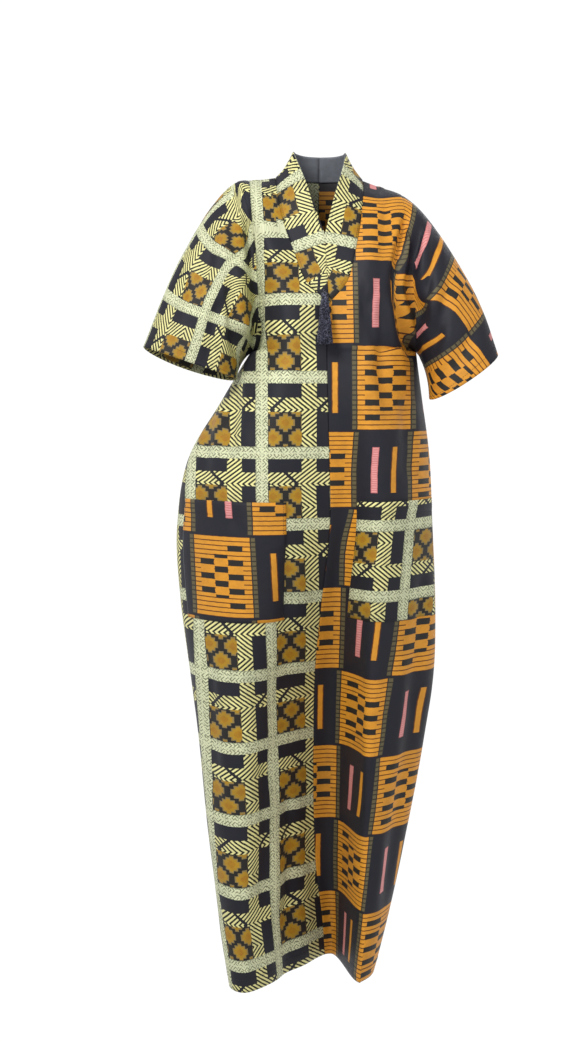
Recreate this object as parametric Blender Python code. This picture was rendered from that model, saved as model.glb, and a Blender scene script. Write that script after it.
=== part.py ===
"""A floor-length wax-print kaftan, in the form in which it hangs when worn.

Cut like a kimono: four body pieces, each with half a sleeve cut on in one, joined
at the centre front, centre back, over the arm and down the side. A wide band
collar in two halves stands at the neck, and each front carries a patch pocket in
the other print. Metres, +Z up, the front faces -Y, and +X is the viewer's right,
which is the wearer's left. The origin is the middle of the neck at the height of
the shoulders. The tables below are in millimetres.
"""
import math

import bpy
import bmesh
import numpy as np
from mathutils import Vector

for old in list(bpy.data.objects):
    bpy.data.objects.remove(old, do_unlink=True)

MM = 0.001
WELD_DISTANCE = 0.05 * MM
SMOOTH_ANGLE = 40

# Cloth
CLOTH_WALL = 1.5 * MM
COLLAR_WALL = 2.4 * MM
POCKET_WALL = 1.2 * MM
SEAM_GAP = 0.3 * MM
# Each side of a seam draws back by this share of the gap.
EDGE_SHARE = 0.6
# A corner between two seams draws back along its bisector, as if no sharper than this.
SHARPEST_MITRE = 0.5
# At the tip of the underarm, where four seam edges meet, a piece draws back further.
UNDERARM_NOTCH = 1.2 * MM

# Heights
UNDERARM_Z = -318
POCKET_TOP_Z = -586
POCKET_BOTTOM_Z = -802
HEM_Z = -1485

# How finely each piece is divided. Rows above the underarm run from the neck or the centre
# seam out along the sleeve; those below run level, and are counted from the underarm to the
# pocket, beside it, and on to the hem.
UPPER_ROWS = 14
NECK_ROWS = {"front": 9, "back": 4}
LOWER_ROWS = (5, 4, 11)
SLEEVE_COLUMNS = 9
COLLAR_STEPS_ACROSS = 4
POINTS_PER_SPAN = 12
RING_POINTS_PER_SPAN = 24
ROW_POINTS_PER_SPAN = 16

# Front, one row for each height: where the side fold lies, the crest of each lobe
# over a leg, the centre seam, and the floor of the deep fold beside it.
FRONT_COLUMNS = ("z", "right_x", "right_y", "right_crest_x", "right_crest_y", "seam_x", "seam_y",
                 "valley_x", "valley_y", "left_crest_x", "left_crest_y", "left_x", "left_y")
FRONT_ROWS = (
    (-318, -127, 12, -64, -132, 10, -125, 28, -127, 87, -131, 178, 12),
    (-405, -181, 24, -82, -143, 12, -128, 34, -130, 95, -138, 190, 22),
    (-498, -237, 25, -105, -150, 15, -125, 50, -120, 101, -142, 203, 24),
    (-632, -264, 20, -127, -155, 17, -102, 46, -96, 105, -139, 211, 26),
    (-778, -258, 10, -136, -149, 3, -52, 35, -44, 102, -125, 218, 28),
    (-908, -241, 0, -145, -141, -8, 0, 38, 5, 96, -107, 216, 30),
    (-1046, -223, -15, -148, -133, -10, 32, 36, 38, 91, -91, 197, 34),
    (-1180, -210, -30, -149, -126, -9, 56, 33, 62, 88, -77, 175, 38),
    (-1312, -193, -45, -146, -118, -3, 82, 33, 86, 85, -67, 149, 43),
    (-1403, -181, -58, -143, -114, 8, 100, 31, 106, 81, -62, 128, 47),
    (-1485, -166, -74, -137, -110, 14, 118, 28, 121, 75, -59, 107, 42),
)

# The section at each height starts at the front centre seam and goes round by the left;
# these of its stations are the left side, centre back and right side seams.
SEAM_STATIONS = (3, 5, 7)

# Back, one row for each height: the fullest point of each half and the centre seam.
BACK_COLUMNS = ("z", "right_x", "right_y", "centre_x", "centre_y", "left_x", "left_y")
BACK_ROWS = (
    (-318, -75, 100, 0, 104, 86, 100),
    (-405, -98, 110, 0, 110, 100, 108),
    (-498, -122, 122, -2, 114, 108, 118),
    (-632, -135, 138, -5, 120, 112, 132),
    (-778, -132, 146, -8, 126, 110, 138),
    (-908, -125, 150, -9, 132, 106, 144),
    (-1046, -116, 154, -8, 138, 99, 150),
    (-1180, -108, 158, -6, 144, 92, 156),
    (-1312, -100, 162, -3, 152, 85, 162),
    (-1403, -95, 165, 0, 160, 80, 166),
    (-1485, -90, 168, 4, 168, 72, 170),
)

# Chest and shoulder blades above the underarm: the fullest point at each height.
CHEST_COLUMNS = ("z", "x", "y")
CHEST = {
    ("right", "front"): ((-2, -117, 14), (-20, -116, -20), (-60, -109, -54), (-110, -98, -84),
                         (-170, -84, -108), (-240, -68, -124), (-318, -64, -132)),
    ("left", "front"): ((-16, 114, 14), (-36, 113, -20), (-72, 108, -54), (-118, 99, -84),
                        (-176, 91, -107), (-240, 86, -122), (-318, 87, -131)),
    ("right", "back"): ((-2, -117, 14), (-12, -112, 42), (-45, -100, 70), (-100, -88, 88),
                        (-190, -80, 97), (-318, -75, 100)),
    ("left", "back"): ((-16, 114, 14), (-26, 110, 42), (-56, 100, 70), (-108, 92, 88),
                       (-194, 88, 97), (-318, 86, 100)),
}

# How far each centre seam bows from a straight line between the neck and the underarm.
CENTRE_BOW = {"front": (-2.5, -2, 0), "back": (0, 11, 0)}
# How evenly the rows are spaced along the front neck seam; the rest closes up at the shoulder.
NECK_EVENNESS = 0.6

# Neck seam from the shoulder to the lowest point of the collar, and to the centre back.
NECK_SEAM = {
    ("right", "front"): ((-82, 12, 1), (-78, -30, -35), (-66, -66, -90), (-48, -90, -140),
                         (-28, -107, -192), (14, -118, -234)),
    ("left", "front"): ((80, 12, -4), (78, -30, -38), (71, -66, -92), (61, -92, -143),
                        (47, -108, -194), (14, -118, -234)),
    ("right", "back"): ((-82, 12, 1), (-72, 42, 3), (-44, 67, 2), (0, 77, 0)),
    ("left", "back"): ((80, 12, -4), (71, 42, -1), (44, 67, 0), (0, 77, 0)),
}

# Free edge of the collar, from the point of the opening up and round to the centre back,
# and the share of its length that lies in front of the shoulder.
COLLAR_FRONT_SHARE = 0.62
COLLAR_EDGE = {
    "right": ((7, -86, -110), (-14, -64, -48), (-30, -42, -2), (-41, -22, 26), (-49, 5, 48),
              (-44, 32, 48), (-26, 53, 46), (0, 60, 45)),
    "left": ((7, -86, -110), (24, -63, -42), (37, -40, 2), (44, -20, 28), (47, 5, 46),
             (43, 32, 46), (26, 53, 45), (0, 60, 45)),
}

# Sleeve rings from the armhole to the cuff: the over-arm point, the underarm point, how far
# the ring bulges to the front and back, how far its front leans inwards, and its drop there.
RING_COLUMNS = ("over_x", "over_y", "over_z", "under_x", "under_y", "under_z",
                "front", "back", "lean", "drop_front", "drop_back")
SLEEVE_RINGS = {
    "right": ((-152, 15, -5, -127, 12, UNDERARM_Z, 66, 84, 22, 0, 0),
              (-200, 14, -52, -137, 5, -327, 86, 74, 4, 0, 0),
              (-252, 4, -139, -145, -10, -339, 82, 64, 0, 0, 4),
              (-289, -12, -222, -150, -25, -352, 68, 56, 0, 0, 10),
              (-322, -34, -309, -152, -40, -366, 54, 54, 0, 0, 15)),
    "left": ((148, 15, -29, 178, 12, UNDERARM_Z, 70, 84, -2, 0, 0),
             (194, 15, -67, 187, 5, -334, 86, 74, 0, 0, 0),
             (262, 4, -170, 194, -8, -356, 80, 64, 0, 4, 0),
             (297, -14, -242, 198, -22, -380, 66, 54, 0, 8, 0),
             (324, -36, -322, 199, -36, -403, 54, 50, 0, 12, 0)),
}

# Share of each front's width, from the centre seam, at which its pocket starts and ends.
POCKET_EDGES = {"right": (0.23, 0.86), "left": (0.17, 0.92)}
# Columns from the centre seam to the pocket, under it, and on to the side seam.
COLUMN_DIVISIONS = (3, 9, 2)

# Long soft folds: how far across the piece from its centre seam, how wide (both as
# shares of its width), where they start and end, and how deep they are. Each fades in and
# out over the same height.
FOLD_FADE = 90
FOLD_COLUMNS = ("piece", "across", "width", "top", "bottom", "depth")
FOLD_ROWS = (
    ("back_right", 0.42, 0.10, -380, HEM_Z, 16),
    ("back_right", 0.80, 0.08, -640, HEM_Z, 12),
    ("back_left", 0.36, 0.10, -430, HEM_Z, 16),
    ("back_left", 0.74, 0.09, -600, HEM_Z, 13),
    ("front_left", 0.40, 0.07, -170, -470, 7),
    ("front_left", 0.62, 0.07, -200, -430, -5),
    ("front_right", 0.30, 0.08, -860, -1380, 5),
    ("front_left", 0.80, 0.08, -900, -1380, 8),
)

# Tassel: a bound head at the point of the collar over a skirt of strands. It leans out
# over the chest, and a short loop at its top meets the collar. The head is turned from radii
# at shares of its height, and the loop goes back and up from its top in steps of
# (back, up, radius).
TASSEL_TOP = (6, -122, -214)
TASSEL_HEAD_HEIGHT = 21
TASSEL_LENGTH = 94
TASSEL_LEAN = -30
TASSEL_SPREAD = 2.0
SPREAD_CURVE = 0.8
HEAD_PROFILE = ((0.30, 5.6), (0.42, 4.6), (0.52, 5.2), (0.72, 6.4), (0.90, 5.0), (1.0, 2.6))
LOOP_STEPS = ((2.5, 3.0, 1.5), (6.6, 3.6, 1.4))
LOOP_TILT = (0, -0.8, 0.6)
STRANDS_ACROSS = 8
HEAD_RADIUS = 6.5
STRAND_SHARE = 0.62
STRAND_STEPS = 4
# Strands come in a few lengths, and each is bent sideways in a shallow wave of its own.
STRAND_LENGTHS = 5
SHORTEST_BY = 0.05
WAVE_HEIGHT = 0.35
WAVE_START = 2.4
WAVE_TURN = 3.0


def smooth_line(points, per_span=POINTS_PER_SPAN, closed=False):
    """A centripetal Catmull-Rom curve through the points, as closely spaced points."""
    points = np.asarray(points, float)
    count = len(points)
    if closed:
        padded = np.vstack([points[-1], points, points[0], points[1]])
        spans = count
    else:
        first = 2 * points[0] - points[1]
        last = 2 * points[-1] - points[-2]
        padded = np.vstack([first, points, last])
        spans = count - 1
    line = []
    for i in range(spans):
        a, b, c, d = padded[i:i + 4]
        t0 = 0.0
        t1 = t0 + max(np.linalg.norm(b - a), 1e-9) ** 0.5
        t2 = t1 + max(np.linalg.norm(c - b), 1e-9) ** 0.5
        t3 = t2 + max(np.linalg.norm(d - c), 1e-9) ** 0.5
        for k in range(per_span):
            t = t1 + (t2 - t1) * k / per_span
            a1 = (t1 - t) / (t1 - t0) * a + (t - t0) / (t1 - t0) * b
            a2 = (t2 - t) / (t2 - t1) * b + (t - t1) / (t2 - t1) * c
            a3 = (t3 - t) / (t3 - t2) * c + (t - t2) / (t3 - t2) * d
            b1 = (t2 - t) / (t2 - t0) * a1 + (t - t0) / (t2 - t0) * a2
            b2 = (t3 - t) / (t3 - t1) * a2 + (t - t1) / (t3 - t1) * a3
            line.append((t2 - t) / (t2 - t1) * b1 + (t - t1) / (t2 - t1) * b2)
    if not closed:
        line.append(points[-1])
    return np.array(line)


def at_shares(line, shares):
    """Points at the given shares of a line's length."""
    steps = np.linalg.norm(np.diff(line, axis=0), axis=1)
    run = np.concatenate([[0], np.cumsum(steps)])
    wanted = np.clip(np.asarray(shares), 0, 1) * run[-1]
    return np.stack([np.interp(wanted, run, line[:, axis]) for axis in range(3)], axis=1)


def down_table(rows, columns, names, z):
    """Values of the named columns at one height, on a smooth curve down the table."""
    table = np.array([[row[columns.index(name)] for name in ("z",) + tuple(names)] for row in rows], float)
    heights = -table[:, 0]
    slopes = np.gradient(table[:, 1:], heights, axis=0)
    depth = min(max(-z, heights[0]), heights[-1])
    i = min(int(np.searchsorted(heights, depth, side="right")) - 1, len(heights) - 2)
    step = heights[i + 1] - heights[i]
    t = (depth - heights[i]) / step
    return ((2 * t**3 - 3 * t**2 + 1) * table[i, 1:] + (t**3 - 2 * t**2 + t) * step * slopes[i]
            + (3 * t**2 - 2 * t**3) * table[i + 1, 1:] + (t**3 - t**2) * step * slopes[i + 1])


def column_shares(side):
    """Shares across a body piece from its centre seam, with columns on the pocket's edges."""
    start, end = POCKET_EDGES[side]
    before, under, after = COLUMN_DIVISIONS
    return np.concatenate([np.linspace(0, start, before + 1)[:-1],
                           np.linspace(start, end, under + 1)[:-1],
                           np.linspace(end, 1, after + 1)])


def lower_heights():
    """Heights of the rows below the underarm, with rows on the pocket's edges."""
    to_pocket, at_pocket, to_hem = LOWER_ROWS
    above = np.linspace(UNDERARM_Z, POCKET_TOP_Z, to_pocket + 1)
    beside = np.linspace(POCKET_TOP_Z, POCKET_BOTTOM_Z, at_pocket + 1)
    below = np.linspace(POCKET_BOTTOM_Z, HEM_Z, to_hem + 1)
    return list(above) + list(beside[1:]) + list(below[1:])


def body_ring(z):
    """The closed section of the body at one height, and where its four seams fall on it."""
    f = dict(zip(FRONT_COLUMNS[1:], down_table(FRONT_ROWS, FRONT_COLUMNS, FRONT_COLUMNS[1:], z)))
    b = dict(zip(BACK_COLUMNS[1:], down_table(BACK_ROWS, BACK_COLUMNS, BACK_COLUMNS[1:], z)))
    stations = [(f["seam_x"], f["seam_y"]), (f["valley_x"], f["valley_y"]),
                (f["left_crest_x"], f["left_crest_y"]), (f["left_x"], f["left_y"]),
                (b["left_x"], b["left_y"]), (b["centre_x"], b["centre_y"]),
                (b["right_x"], b["right_y"]), (f["right_x"], f["right_y"]),
                (f["right_crest_x"], f["right_crest_y"])]
    ring = smooth_line([(x, y, z) for x, y in stations], RING_POINTS_PER_SPAN, closed=True)
    ring = np.vstack([ring, ring[:1]])
    left, back, right = (station * RING_POINTS_PER_SPAN for station in SEAM_STATIONS)
    return {("left", "front"): ring[:left + 1],
            ("left", "back"): ring[left:back + 1][::-1],
            ("right", "back"): ring[back:right + 1],
            ("right", "front"): ring[right:][::-1]}


def sleeve_ring(side, face, ring, angle):
    """A point on one ring of a sleeve: angle 0 is over the arm and pi is under it."""
    r = dict(zip(RING_COLUMNS, SLEEVE_RINGS[side][ring]))
    over = np.array([r["over_x"], r["over_y"], r["over_z"]], float)
    under = np.array([r["under_x"], r["under_y"], r["under_z"]], float)
    share = (1 - math.cos(angle)) / 2
    inwards = 1 if side == "right" else -1
    if face == "front":
        push = np.array([inwards * r["lean"], -r["front"], -r["drop_front"]], float)
    else:
        push = np.array([0, r["back"], -r["drop_back"]], float)
    return over * (1 - share) + under * share + math.sin(angle) * push


def edge_points(side, face):
    """Where each upper row starts: along the neck seam, then down the centre seam."""
    neck_rows = NECK_ROWS[face]
    along = np.linspace(0, 1, neck_rows + 1)
    if face == "front":
        closed_up = 1 - np.cos(along * math.pi / 2)
        along = NECK_EVENNESS * along + (1 - NECK_EVENNESS) * closed_up
    neck = at_shares(smooth_line(NECK_SEAM[side, face]), along)
    bottom = body_ring(UNDERARM_Z)[side, face][0]
    bend = (neck[-1] + bottom) / 2 + np.array(CENTRE_BOW[face])
    down = at_shares(smooth_line([neck[-1], bend, bottom]), np.linspace(0, 1, UPPER_ROWS - neck_rows + 1))
    return np.vstack([neck, down[1:]])


def piece_grid(side, face):
    """One piece of the cut: its body rows from shoulder to hem, and its half sleeve."""
    shares = column_shares(side)
    sleeve_shares = np.linspace(0, 1, SLEEVE_COLUMNS + 1)
    edges = edge_points(side, face)
    body, sleeve = [], []
    for j in range(UPPER_ROWS + 1):
        angle = math.pi * j / UPPER_ROWS
        rings = [sleeve_ring(side, face, k, angle) for k in range(len(SLEEVE_RINGS[side]))]
        start = edges[j]
        middle_z = (start[2] + rings[0][2]) / 2
        chest = down_table(CHEST[side, face], CHEST_COLUMNS, ("x", "y"), middle_z)
        if j == UPPER_ROWS:
            body.append(at_shares(body_ring(UNDERARM_Z)[side, face], shares))
            sleeve.append(at_shares(smooth_line(rings, ROW_POINTS_PER_SPAN), sleeve_shares))
        else:
            line = smooth_line([start, (chest[0], chest[1], middle_z)] + rings, ROW_POINTS_PER_SPAN)
            armhole = 2 * ROW_POINTS_PER_SPAN
            body.append(at_shares(line[:armhole + 1], shares))
            sleeve.append(at_shares(line[armhole:], sleeve_shares))
    for z in lower_heights()[1:]:
        body.append(at_shares(body_ring(z)[side, face], shares))
    return np.array(body) * MM, np.array(sleeve) * MM


class Sheet:
    """All the cloth as one surface of shared points, with the faces of each piece apart."""

    def __init__(self):
        self.points = []
        self.lookup = {}
        self.faces = {}

    def point(self, place):
        key = tuple(int(round(value / WELD_DISTANCE)) for value in place)
        if key not in self.lookup:
            self.lookup[key] = len(self.points)
            self.points.append(Vector(place))
        return self.lookup[key]

    def add_grid(self, piece, grid, turned):
        """Add a grid of points as quads that face outwards, and give their indices."""
        index = [[self.point(place) for place in row] for row in grid]
        for j in range(len(index) - 1):
            for i in range(len(index[0]) - 1):
                quad = [index[j][i], index[j + 1][i], index[j + 1][i + 1], index[j][i + 1]]
                quad = [v for n, v in enumerate(quad) if v != quad[n - 1]]
                if len(quad) < 3:
                    continue
                self.faces.setdefault(piece, []).append(quad[::-1] if turned else quad)
        return index

    def normals(self):
        mesh = bpy.data.meshes.new("cloth_surface")
        mesh.from_pydata([tuple(p) for p in self.points], [], sum(self.faces.values(), []))
        mesh.update()
        result = [vertex.normal.copy() for vertex in mesh.vertices]
        bpy.data.meshes.remove(mesh)
        return result


def colour(name, rgb, roughness, metallic=0.0):
    material = bpy.data.materials.new(name)
    material.use_nodes = True
    shader = material.node_tree.nodes["Principled BSDF"]
    shader.inputs["Base Color"].default_value = (*rgb, 1)
    shader.inputs["Roughness"].default_value = roughness
    shader.inputs["Metallic"].default_value = metallic
    material.diffuse_color = (*rgb, 1)
    return material


def finish_object(name, bm, material):
    mesh = bpy.data.meshes.new(name)
    bm.to_mesh(mesh)
    bm.free()
    mesh.shade_smooth()
    mesh.set_sharp_from_angle(angle=math.radians(SMOOTH_ANGLE))
    obj = bpy.data.objects.new(name, mesh)
    obj.data.materials.append(material)
    bpy.context.scene.collection.objects.link(obj)
    return obj


def triangles(points, face):
    """A face split across its shorter diagonal, so that both sides of a wall match."""
    if len(face) == 3:
        return [face]
    a, b, c, d = face
    if (points[a] - points[c]).length <= (points[b] - points[d]).length:
        return [[a, b, c], [a, c, d]]
    return [[a, b, d], [b, c, d]]


def wall(name, points, normals, faces, thickness, lift, material, notches=None):
    """Give faces a thickness about the sheet, and draw their edges back for the seam gap.

    A notch is a point, such as the tip of the underarm, that draws back by its own amount.
    """
    notches = notches or {}
    used = sorted({v for face in faces for v in face})
    edge_use = {}
    for face in faces:
        for a, b in zip(face, face[1:] + face[:1]):
            edge_use[(a, b)] = face
    rim = [(a, b) for a, b in edge_use if (b, a) not in edge_use]
    inwards = {}
    for a, b in rim:
        face = edge_use[(a, b)]
        middle = sum((points[v] for v in face), Vector()) / len(face)
        direction = (points[b] - points[a]).normalized()
        for v in (a, b):
            towards = middle - points[v]
            towards -= direction * towards.dot(direction)
            inwards.setdefault(v, []).append(towards.normalized())
    bm = bmesh.new()
    outer, inner = {}, {}
    for v in used:
        place = points[v] + normals[v] * lift
        if v in notches:
            place = place + notches[v]
        elif v in inwards:
            total = sum(inwards[v], Vector())
            mitre = max(total.length_squared / 2, SHARPEST_MITRE)
            place = place + total * (SEAM_GAP * EDGE_SHARE / mitre)
        outer[v] = bm.verts.new(place + normals[v] * thickness / 2)
        inner[v] = bm.verts.new(place - normals[v] * thickness / 2)
    for face in faces:
        for corners in triangles(points, face):
            bm.faces.new([outer[v] for v in corners])
            bm.faces.new([inner[v] for v in reversed(corners)])
    for a, b in rim:
        if a < b:
            bm.faces.new([outer[a], inner[b], outer[b]])
            bm.faces.new([outer[a], inner[a], inner[b]])
        else:
            bm.faces.new([outer[b], outer[a], inner[a]])
            bm.faces.new([outer[b], inner[a], inner[b]])
    bmesh.ops.recalc_face_normals(bm, faces=bm.faces[:])
    return finish_object(name, bm, material)


def smooth_step(share):
    """Eases from 0 to 1 as the share does, level at both ends."""
    share = min(max(share, 0), 1)
    return share * share * (3 - 2 * share)


def fold_depth(piece, across, z):
    """How far the long folds move a point of a piece inwards."""
    total = 0.0
    for row in FOLD_ROWS:
        fold = dict(zip(FOLD_COLUMNS, row))
        if fold["piece"] != piece:
            continue
        swell = smooth_step((fold["top"] - z) / FOLD_FADE)
        if fold["bottom"] != HEM_Z:
            swell *= smooth_step((z - fold["bottom"]) / FOLD_FADE)
        total += fold["depth"] * swell * math.exp(-((across - fold["across"]) / fold["width"]) ** 2)
    return total * MM


def build_cloth():
    """The four body pieces and the collar as one surface, then each as its own wall."""
    sheet = Sheet()
    index = {}
    fold_moves = {}
    underarm = {}
    for side in ("right", "left"):
        for face in ("front", "back"):
            piece = f"{face}_{side}"
            body, sleeve = piece_grid(side, face)
            turned = (side == "left") != (face == "front")
            index[piece] = sheet.add_grid(piece, body, turned)
            sleeve_index = sheet.add_grid(piece, sleeve, turned)
            underarm[side] = (index[piece][UPPER_ROWS][-1], index[piece][UPPER_ROWS + 1][-1],
                              sleeve_index[UPPER_ROWS][1])
            shares = column_shares(side)
            for j, row in enumerate(index[piece]):
                for i, v in enumerate(row):
                    move = fold_depth(piece, shares[i], body[j][i][2] / MM)
                    fold_moves[v] = max(fold_moves.get(v, 0.0), move, key=abs)
    for side in ("right", "left"):
        front = [index[f"front_{side}"][j][0] for j in range(NECK_ROWS["front"], -1, -1)]
        back = [index[f"back_{side}"][j][0] for j in range(1, NECK_ROWS["back"] + 1)]
        outer = [sheet.points[v] for v in front + back]
        run = np.concatenate([[0], np.cumsum([(b - a).length for a, b in zip(outer, outer[1:])])])
        edge = smooth_line(COLLAR_EDGE[side]) * MM
        turn = run[NECK_ROWS["front"]] / run[-1]
        shares = np.interp(run / run[-1], [0, turn, 1], [0, COLLAR_FRONT_SHARE, 1])
        inner = at_shares(edge, shares)
        rows = []
        for out, free in zip(outer, inner):
            rows.append([np.array(out) + (free - np.array(out)) * k / COLLAR_STEPS_ACROSS
                         for k in range(COLLAR_STEPS_ACROSS + 1)])
        sheet.add_grid(f"collar_{side}", rows, side == "right")
    normals = sheet.normals()
    for v, move in fold_moves.items():
        sheet.points[v] = sheet.points[v] - normals[v] * move
    normals = sheet.normals()
    for side in ("right", "left"):
        corner, below, along = underarm[side]
        mouth = ((sheet.points[below] - sheet.points[corner]).normalized()
                 + (sheet.points[along] - sheet.points[corner]).normalized())
        normals[corner] = mouth.normalized()
    return sheet, index, normals, {side: underarm[side][0] for side in underarm}


def tassel(name, material):
    """A bound head whose flat underside is drawn out into separate strands."""
    bm = bmesh.new()
    top = Vector(TASSEL_TOP) * MM
    count = STRANDS_ACROSS
    length = TASSEL_LENGTH * MM
    head_share = TASSEL_HEAD_HEIGHT / TASSEL_LENGTH

    def axis(share):
        """The tassel's middle at a share of its length from the top."""
        return top + Vector((0, TASSEL_LEAN * MM * share, -length * share))

    def disc(i, j):
        """A point of a square grid drawn onto the underside of the head."""
        a, b = 2 * i / count - 1, 2 * j / count - 1
        return Vector((a * math.sqrt(1 - b * b / 2), b * math.sqrt(1 - a * a / 2), 0)) * HEAD_RADIUS * MM

    middle = axis(head_share)
    grid = [[bm.verts.new(middle + disc(i, j)) for i in range(count + 1)] for j in range(count + 1)]
    under = [bm.faces.new([grid[j][i], grid[j + 1][i], grid[j + 1][i + 1], grid[j][i + 1]])
             for j in range(count) for i in range(count)]
    border = ([grid[0][i] for i in range(count)] + [grid[j][count] for j in range(count)]
              + [grid[count][i] for i in range(count, 0, -1)] + [grid[j][0] for j in range(count, 0, -1)])
    around = [(v.co - middle).normalized() for v in border]
    rings = [border]
    for rise, radius in HEAD_PROFILE:
        centre = axis(head_share * (1 - rise))
        rings.append([bm.verts.new(centre + out * radius * MM) for out in around])
    for back, up, radius in LOOP_STEPS:
        centre = top + Vector((0, back, up)) * MM
        rings.append([bm.verts.new(centre + Vector((out.x, 0, 0)) * radius * MM
                                   + Vector(LOOP_TILT) * -out.y * radius * MM) for out in around])
    for low, high in zip(rings, rings[1:]):
        for n in range(len(border)):
            m = (n + 1) % len(border)
            bm.faces.new([low[n], low[m], high[m], high[n]])
    bm.faces.new(rings[-1])
    for n, face in enumerate(under):
        arm = face.calc_center_median() - middle
        shortening = SHORTEST_BY * (n * 7 % STRAND_LENGTHS) / (STRAND_LENGTHS - 1)
        tip = face
        for step in range(1, STRAND_STEPS + 1):
            share = step / STRAND_STEPS
            tip = bmesh.ops.extrude_discrete_faces(bm, faces=[tip])["faces"][0]
            wave = WAVE_HEIGHT * MM * math.sin(WAVE_START * n + WAVE_TURN * share)
            spread = 1 + (TASSEL_SPREAD - 1) * share ** SPREAD_CURVE
            along = head_share + (1 - shortening - head_share) * share
            centre = axis(along) + Vector((arm.x * spread + wave, arm.y * spread, 0))
            old = tip.calc_center_median()
            shrink = STRAND_SHARE if step == 1 else 1.0
            for v in tip.verts:
                v.co = centre + (v.co - old) * shrink
    bmesh.ops.recalc_face_normals(bm, faces=bm.faces[:])
    return finish_object(name, bm, material)


def main():
    lattice = colour("lattice_print", (0.33, 0.32, 0.20), 0.55)
    blocks = colour("block_print", (0.42, 0.24, 0.07), 0.55)
    collar_cloth = colour("collar_print", (0.36, 0.34, 0.20), 0.55)
    pocket_blocks = colour("pocket_block_print", (0.55, 0.30, 0.08), 0.55)
    pocket_lattice = colour("pocket_lattice_print", (0.45, 0.42, 0.26), 0.55)
    thread = colour("tassel_thread", (0.08, 0.08, 0.10), 0.35, 0.4)

    sheet, index, normals, tips = build_cloth()
    cloth = {"front_right": lattice, "back_right": lattice, "front_left": blocks, "back_left": blocks,
             "collar_right": collar_cloth, "collar_left": collar_cloth}
    for piece, material in cloth.items():
        thickness = COLLAR_WALL if piece.startswith("collar") else CLOTH_WALL
        away = -UNDERARM_NOTCH if piece.startswith("front") else UNDERARM_NOTCH
        notches = {tip: Vector((0, away, 0)) for tip in tips.values()}
        wall(piece, sheet.points, normals, sheet.faces[piece], thickness, 0.0, material, notches)

    heights = lower_heights()
    top_row = UPPER_ROWS + heights.index(POCKET_TOP_Z)
    bottom_row = UPPER_ROWS + heights.index(POCKET_BOTTOM_Z)
    before, under, _ = COLUMN_DIVISIONS
    lift = CLOTH_WALL / 2 + SEAM_GAP + POCKET_WALL / 2
    for side, material in (("right", pocket_blocks), ("left", pocket_lattice)):
        grid = index[f"front_{side}"]
        faces = []
        for j in range(top_row, bottom_row):
            for i in range(before, before + under):
                quad = [grid[j][i], grid[j + 1][i], grid[j + 1][i + 1], grid[j][i + 1]]
                faces.append(quad if side == "left" else quad[::-1])
        wall(f"pocket_{side}", sheet.points, normals, faces, POCKET_WALL, lift, material)
    tassel("tassel", thread)


main()
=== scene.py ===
"""Looks of a floor-length wax-print kaftan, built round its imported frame.

Each cut piece is a thin shell of cloth on its solid's own form, worked out from the same
tables as the solids but more finely, with its creases, its print on a UV map in metres of
flat cloth, its turned edges and its stitching. Metres, +Z up, the front faces -Y.
Right and left are the wearer's. The tables are in millimetres.
"""
import math

import bmesh
import bpy
import numpy as np
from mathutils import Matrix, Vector


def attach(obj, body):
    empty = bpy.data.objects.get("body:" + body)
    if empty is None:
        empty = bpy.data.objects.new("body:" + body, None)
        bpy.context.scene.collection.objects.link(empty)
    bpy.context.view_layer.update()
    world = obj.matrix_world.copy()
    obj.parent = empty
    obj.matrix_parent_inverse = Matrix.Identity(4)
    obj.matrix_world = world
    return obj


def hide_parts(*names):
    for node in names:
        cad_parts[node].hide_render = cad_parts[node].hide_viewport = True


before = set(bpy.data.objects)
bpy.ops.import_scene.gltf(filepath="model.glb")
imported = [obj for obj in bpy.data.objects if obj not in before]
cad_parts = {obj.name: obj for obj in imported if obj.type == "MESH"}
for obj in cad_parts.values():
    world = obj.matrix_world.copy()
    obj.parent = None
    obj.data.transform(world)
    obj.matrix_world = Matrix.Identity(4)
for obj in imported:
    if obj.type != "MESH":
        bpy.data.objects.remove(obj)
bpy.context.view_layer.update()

MM = 0.001

# The cut, as in the solids
UNDERARM_Z = -318
POCKET_TOP_Z = -586
POCKET_BOTTOM_Z = -802
HEM_Z = -1485
UPPER_ROWS = 14
NECK_ROWS = {"front": 9, "back": 4}

FRONT_COLUMNS = ("z", "right_x", "right_y", "right_crest_x", "right_crest_y", "seam_x", "seam_y",
                 "valley_x", "valley_y", "left_crest_x", "left_crest_y", "left_x", "left_y")
FRONT_ROWS = (
    (-318, -127, 12, -64, -132, 10, -125, 28, -127, 87, -131, 178, 12),
    (-405, -181, 24, -82, -143, 12, -128, 34, -130, 95, -138, 190, 22),
    (-498, -237, 25, -105, -150, 15, -125, 50, -120, 101, -142, 203, 24),
    (-632, -264, 20, -127, -155, 17, -102, 46, -96, 105, -139, 211, 26),
    (-778, -258, 10, -136, -149, 3, -52, 35, -44, 102, -125, 218, 28),
    (-908, -241, 0, -145, -141, -8, 0, 38, 5, 96, -107, 216, 30),
    (-1046, -223, -15, -148, -133, -10, 32, 36, 38, 91, -91, 197, 34),
    (-1180, -210, -30, -149, -126, -9, 56, 33, 62, 88, -77, 175, 38),
    (-1312, -193, -45, -146, -118, -3, 82, 33, 86, 85, -67, 149, 43),
    (-1403, -181, -58, -143, -114, 8, 100, 31, 106, 81, -62, 128, 47),
    (-1485, -166, -74, -137, -110, 14, 118, 28, 121, 75, -59, 107, 42),
)
BACK_COLUMNS = ("z", "right_x", "right_y", "centre_x", "centre_y", "left_x", "left_y")
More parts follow.
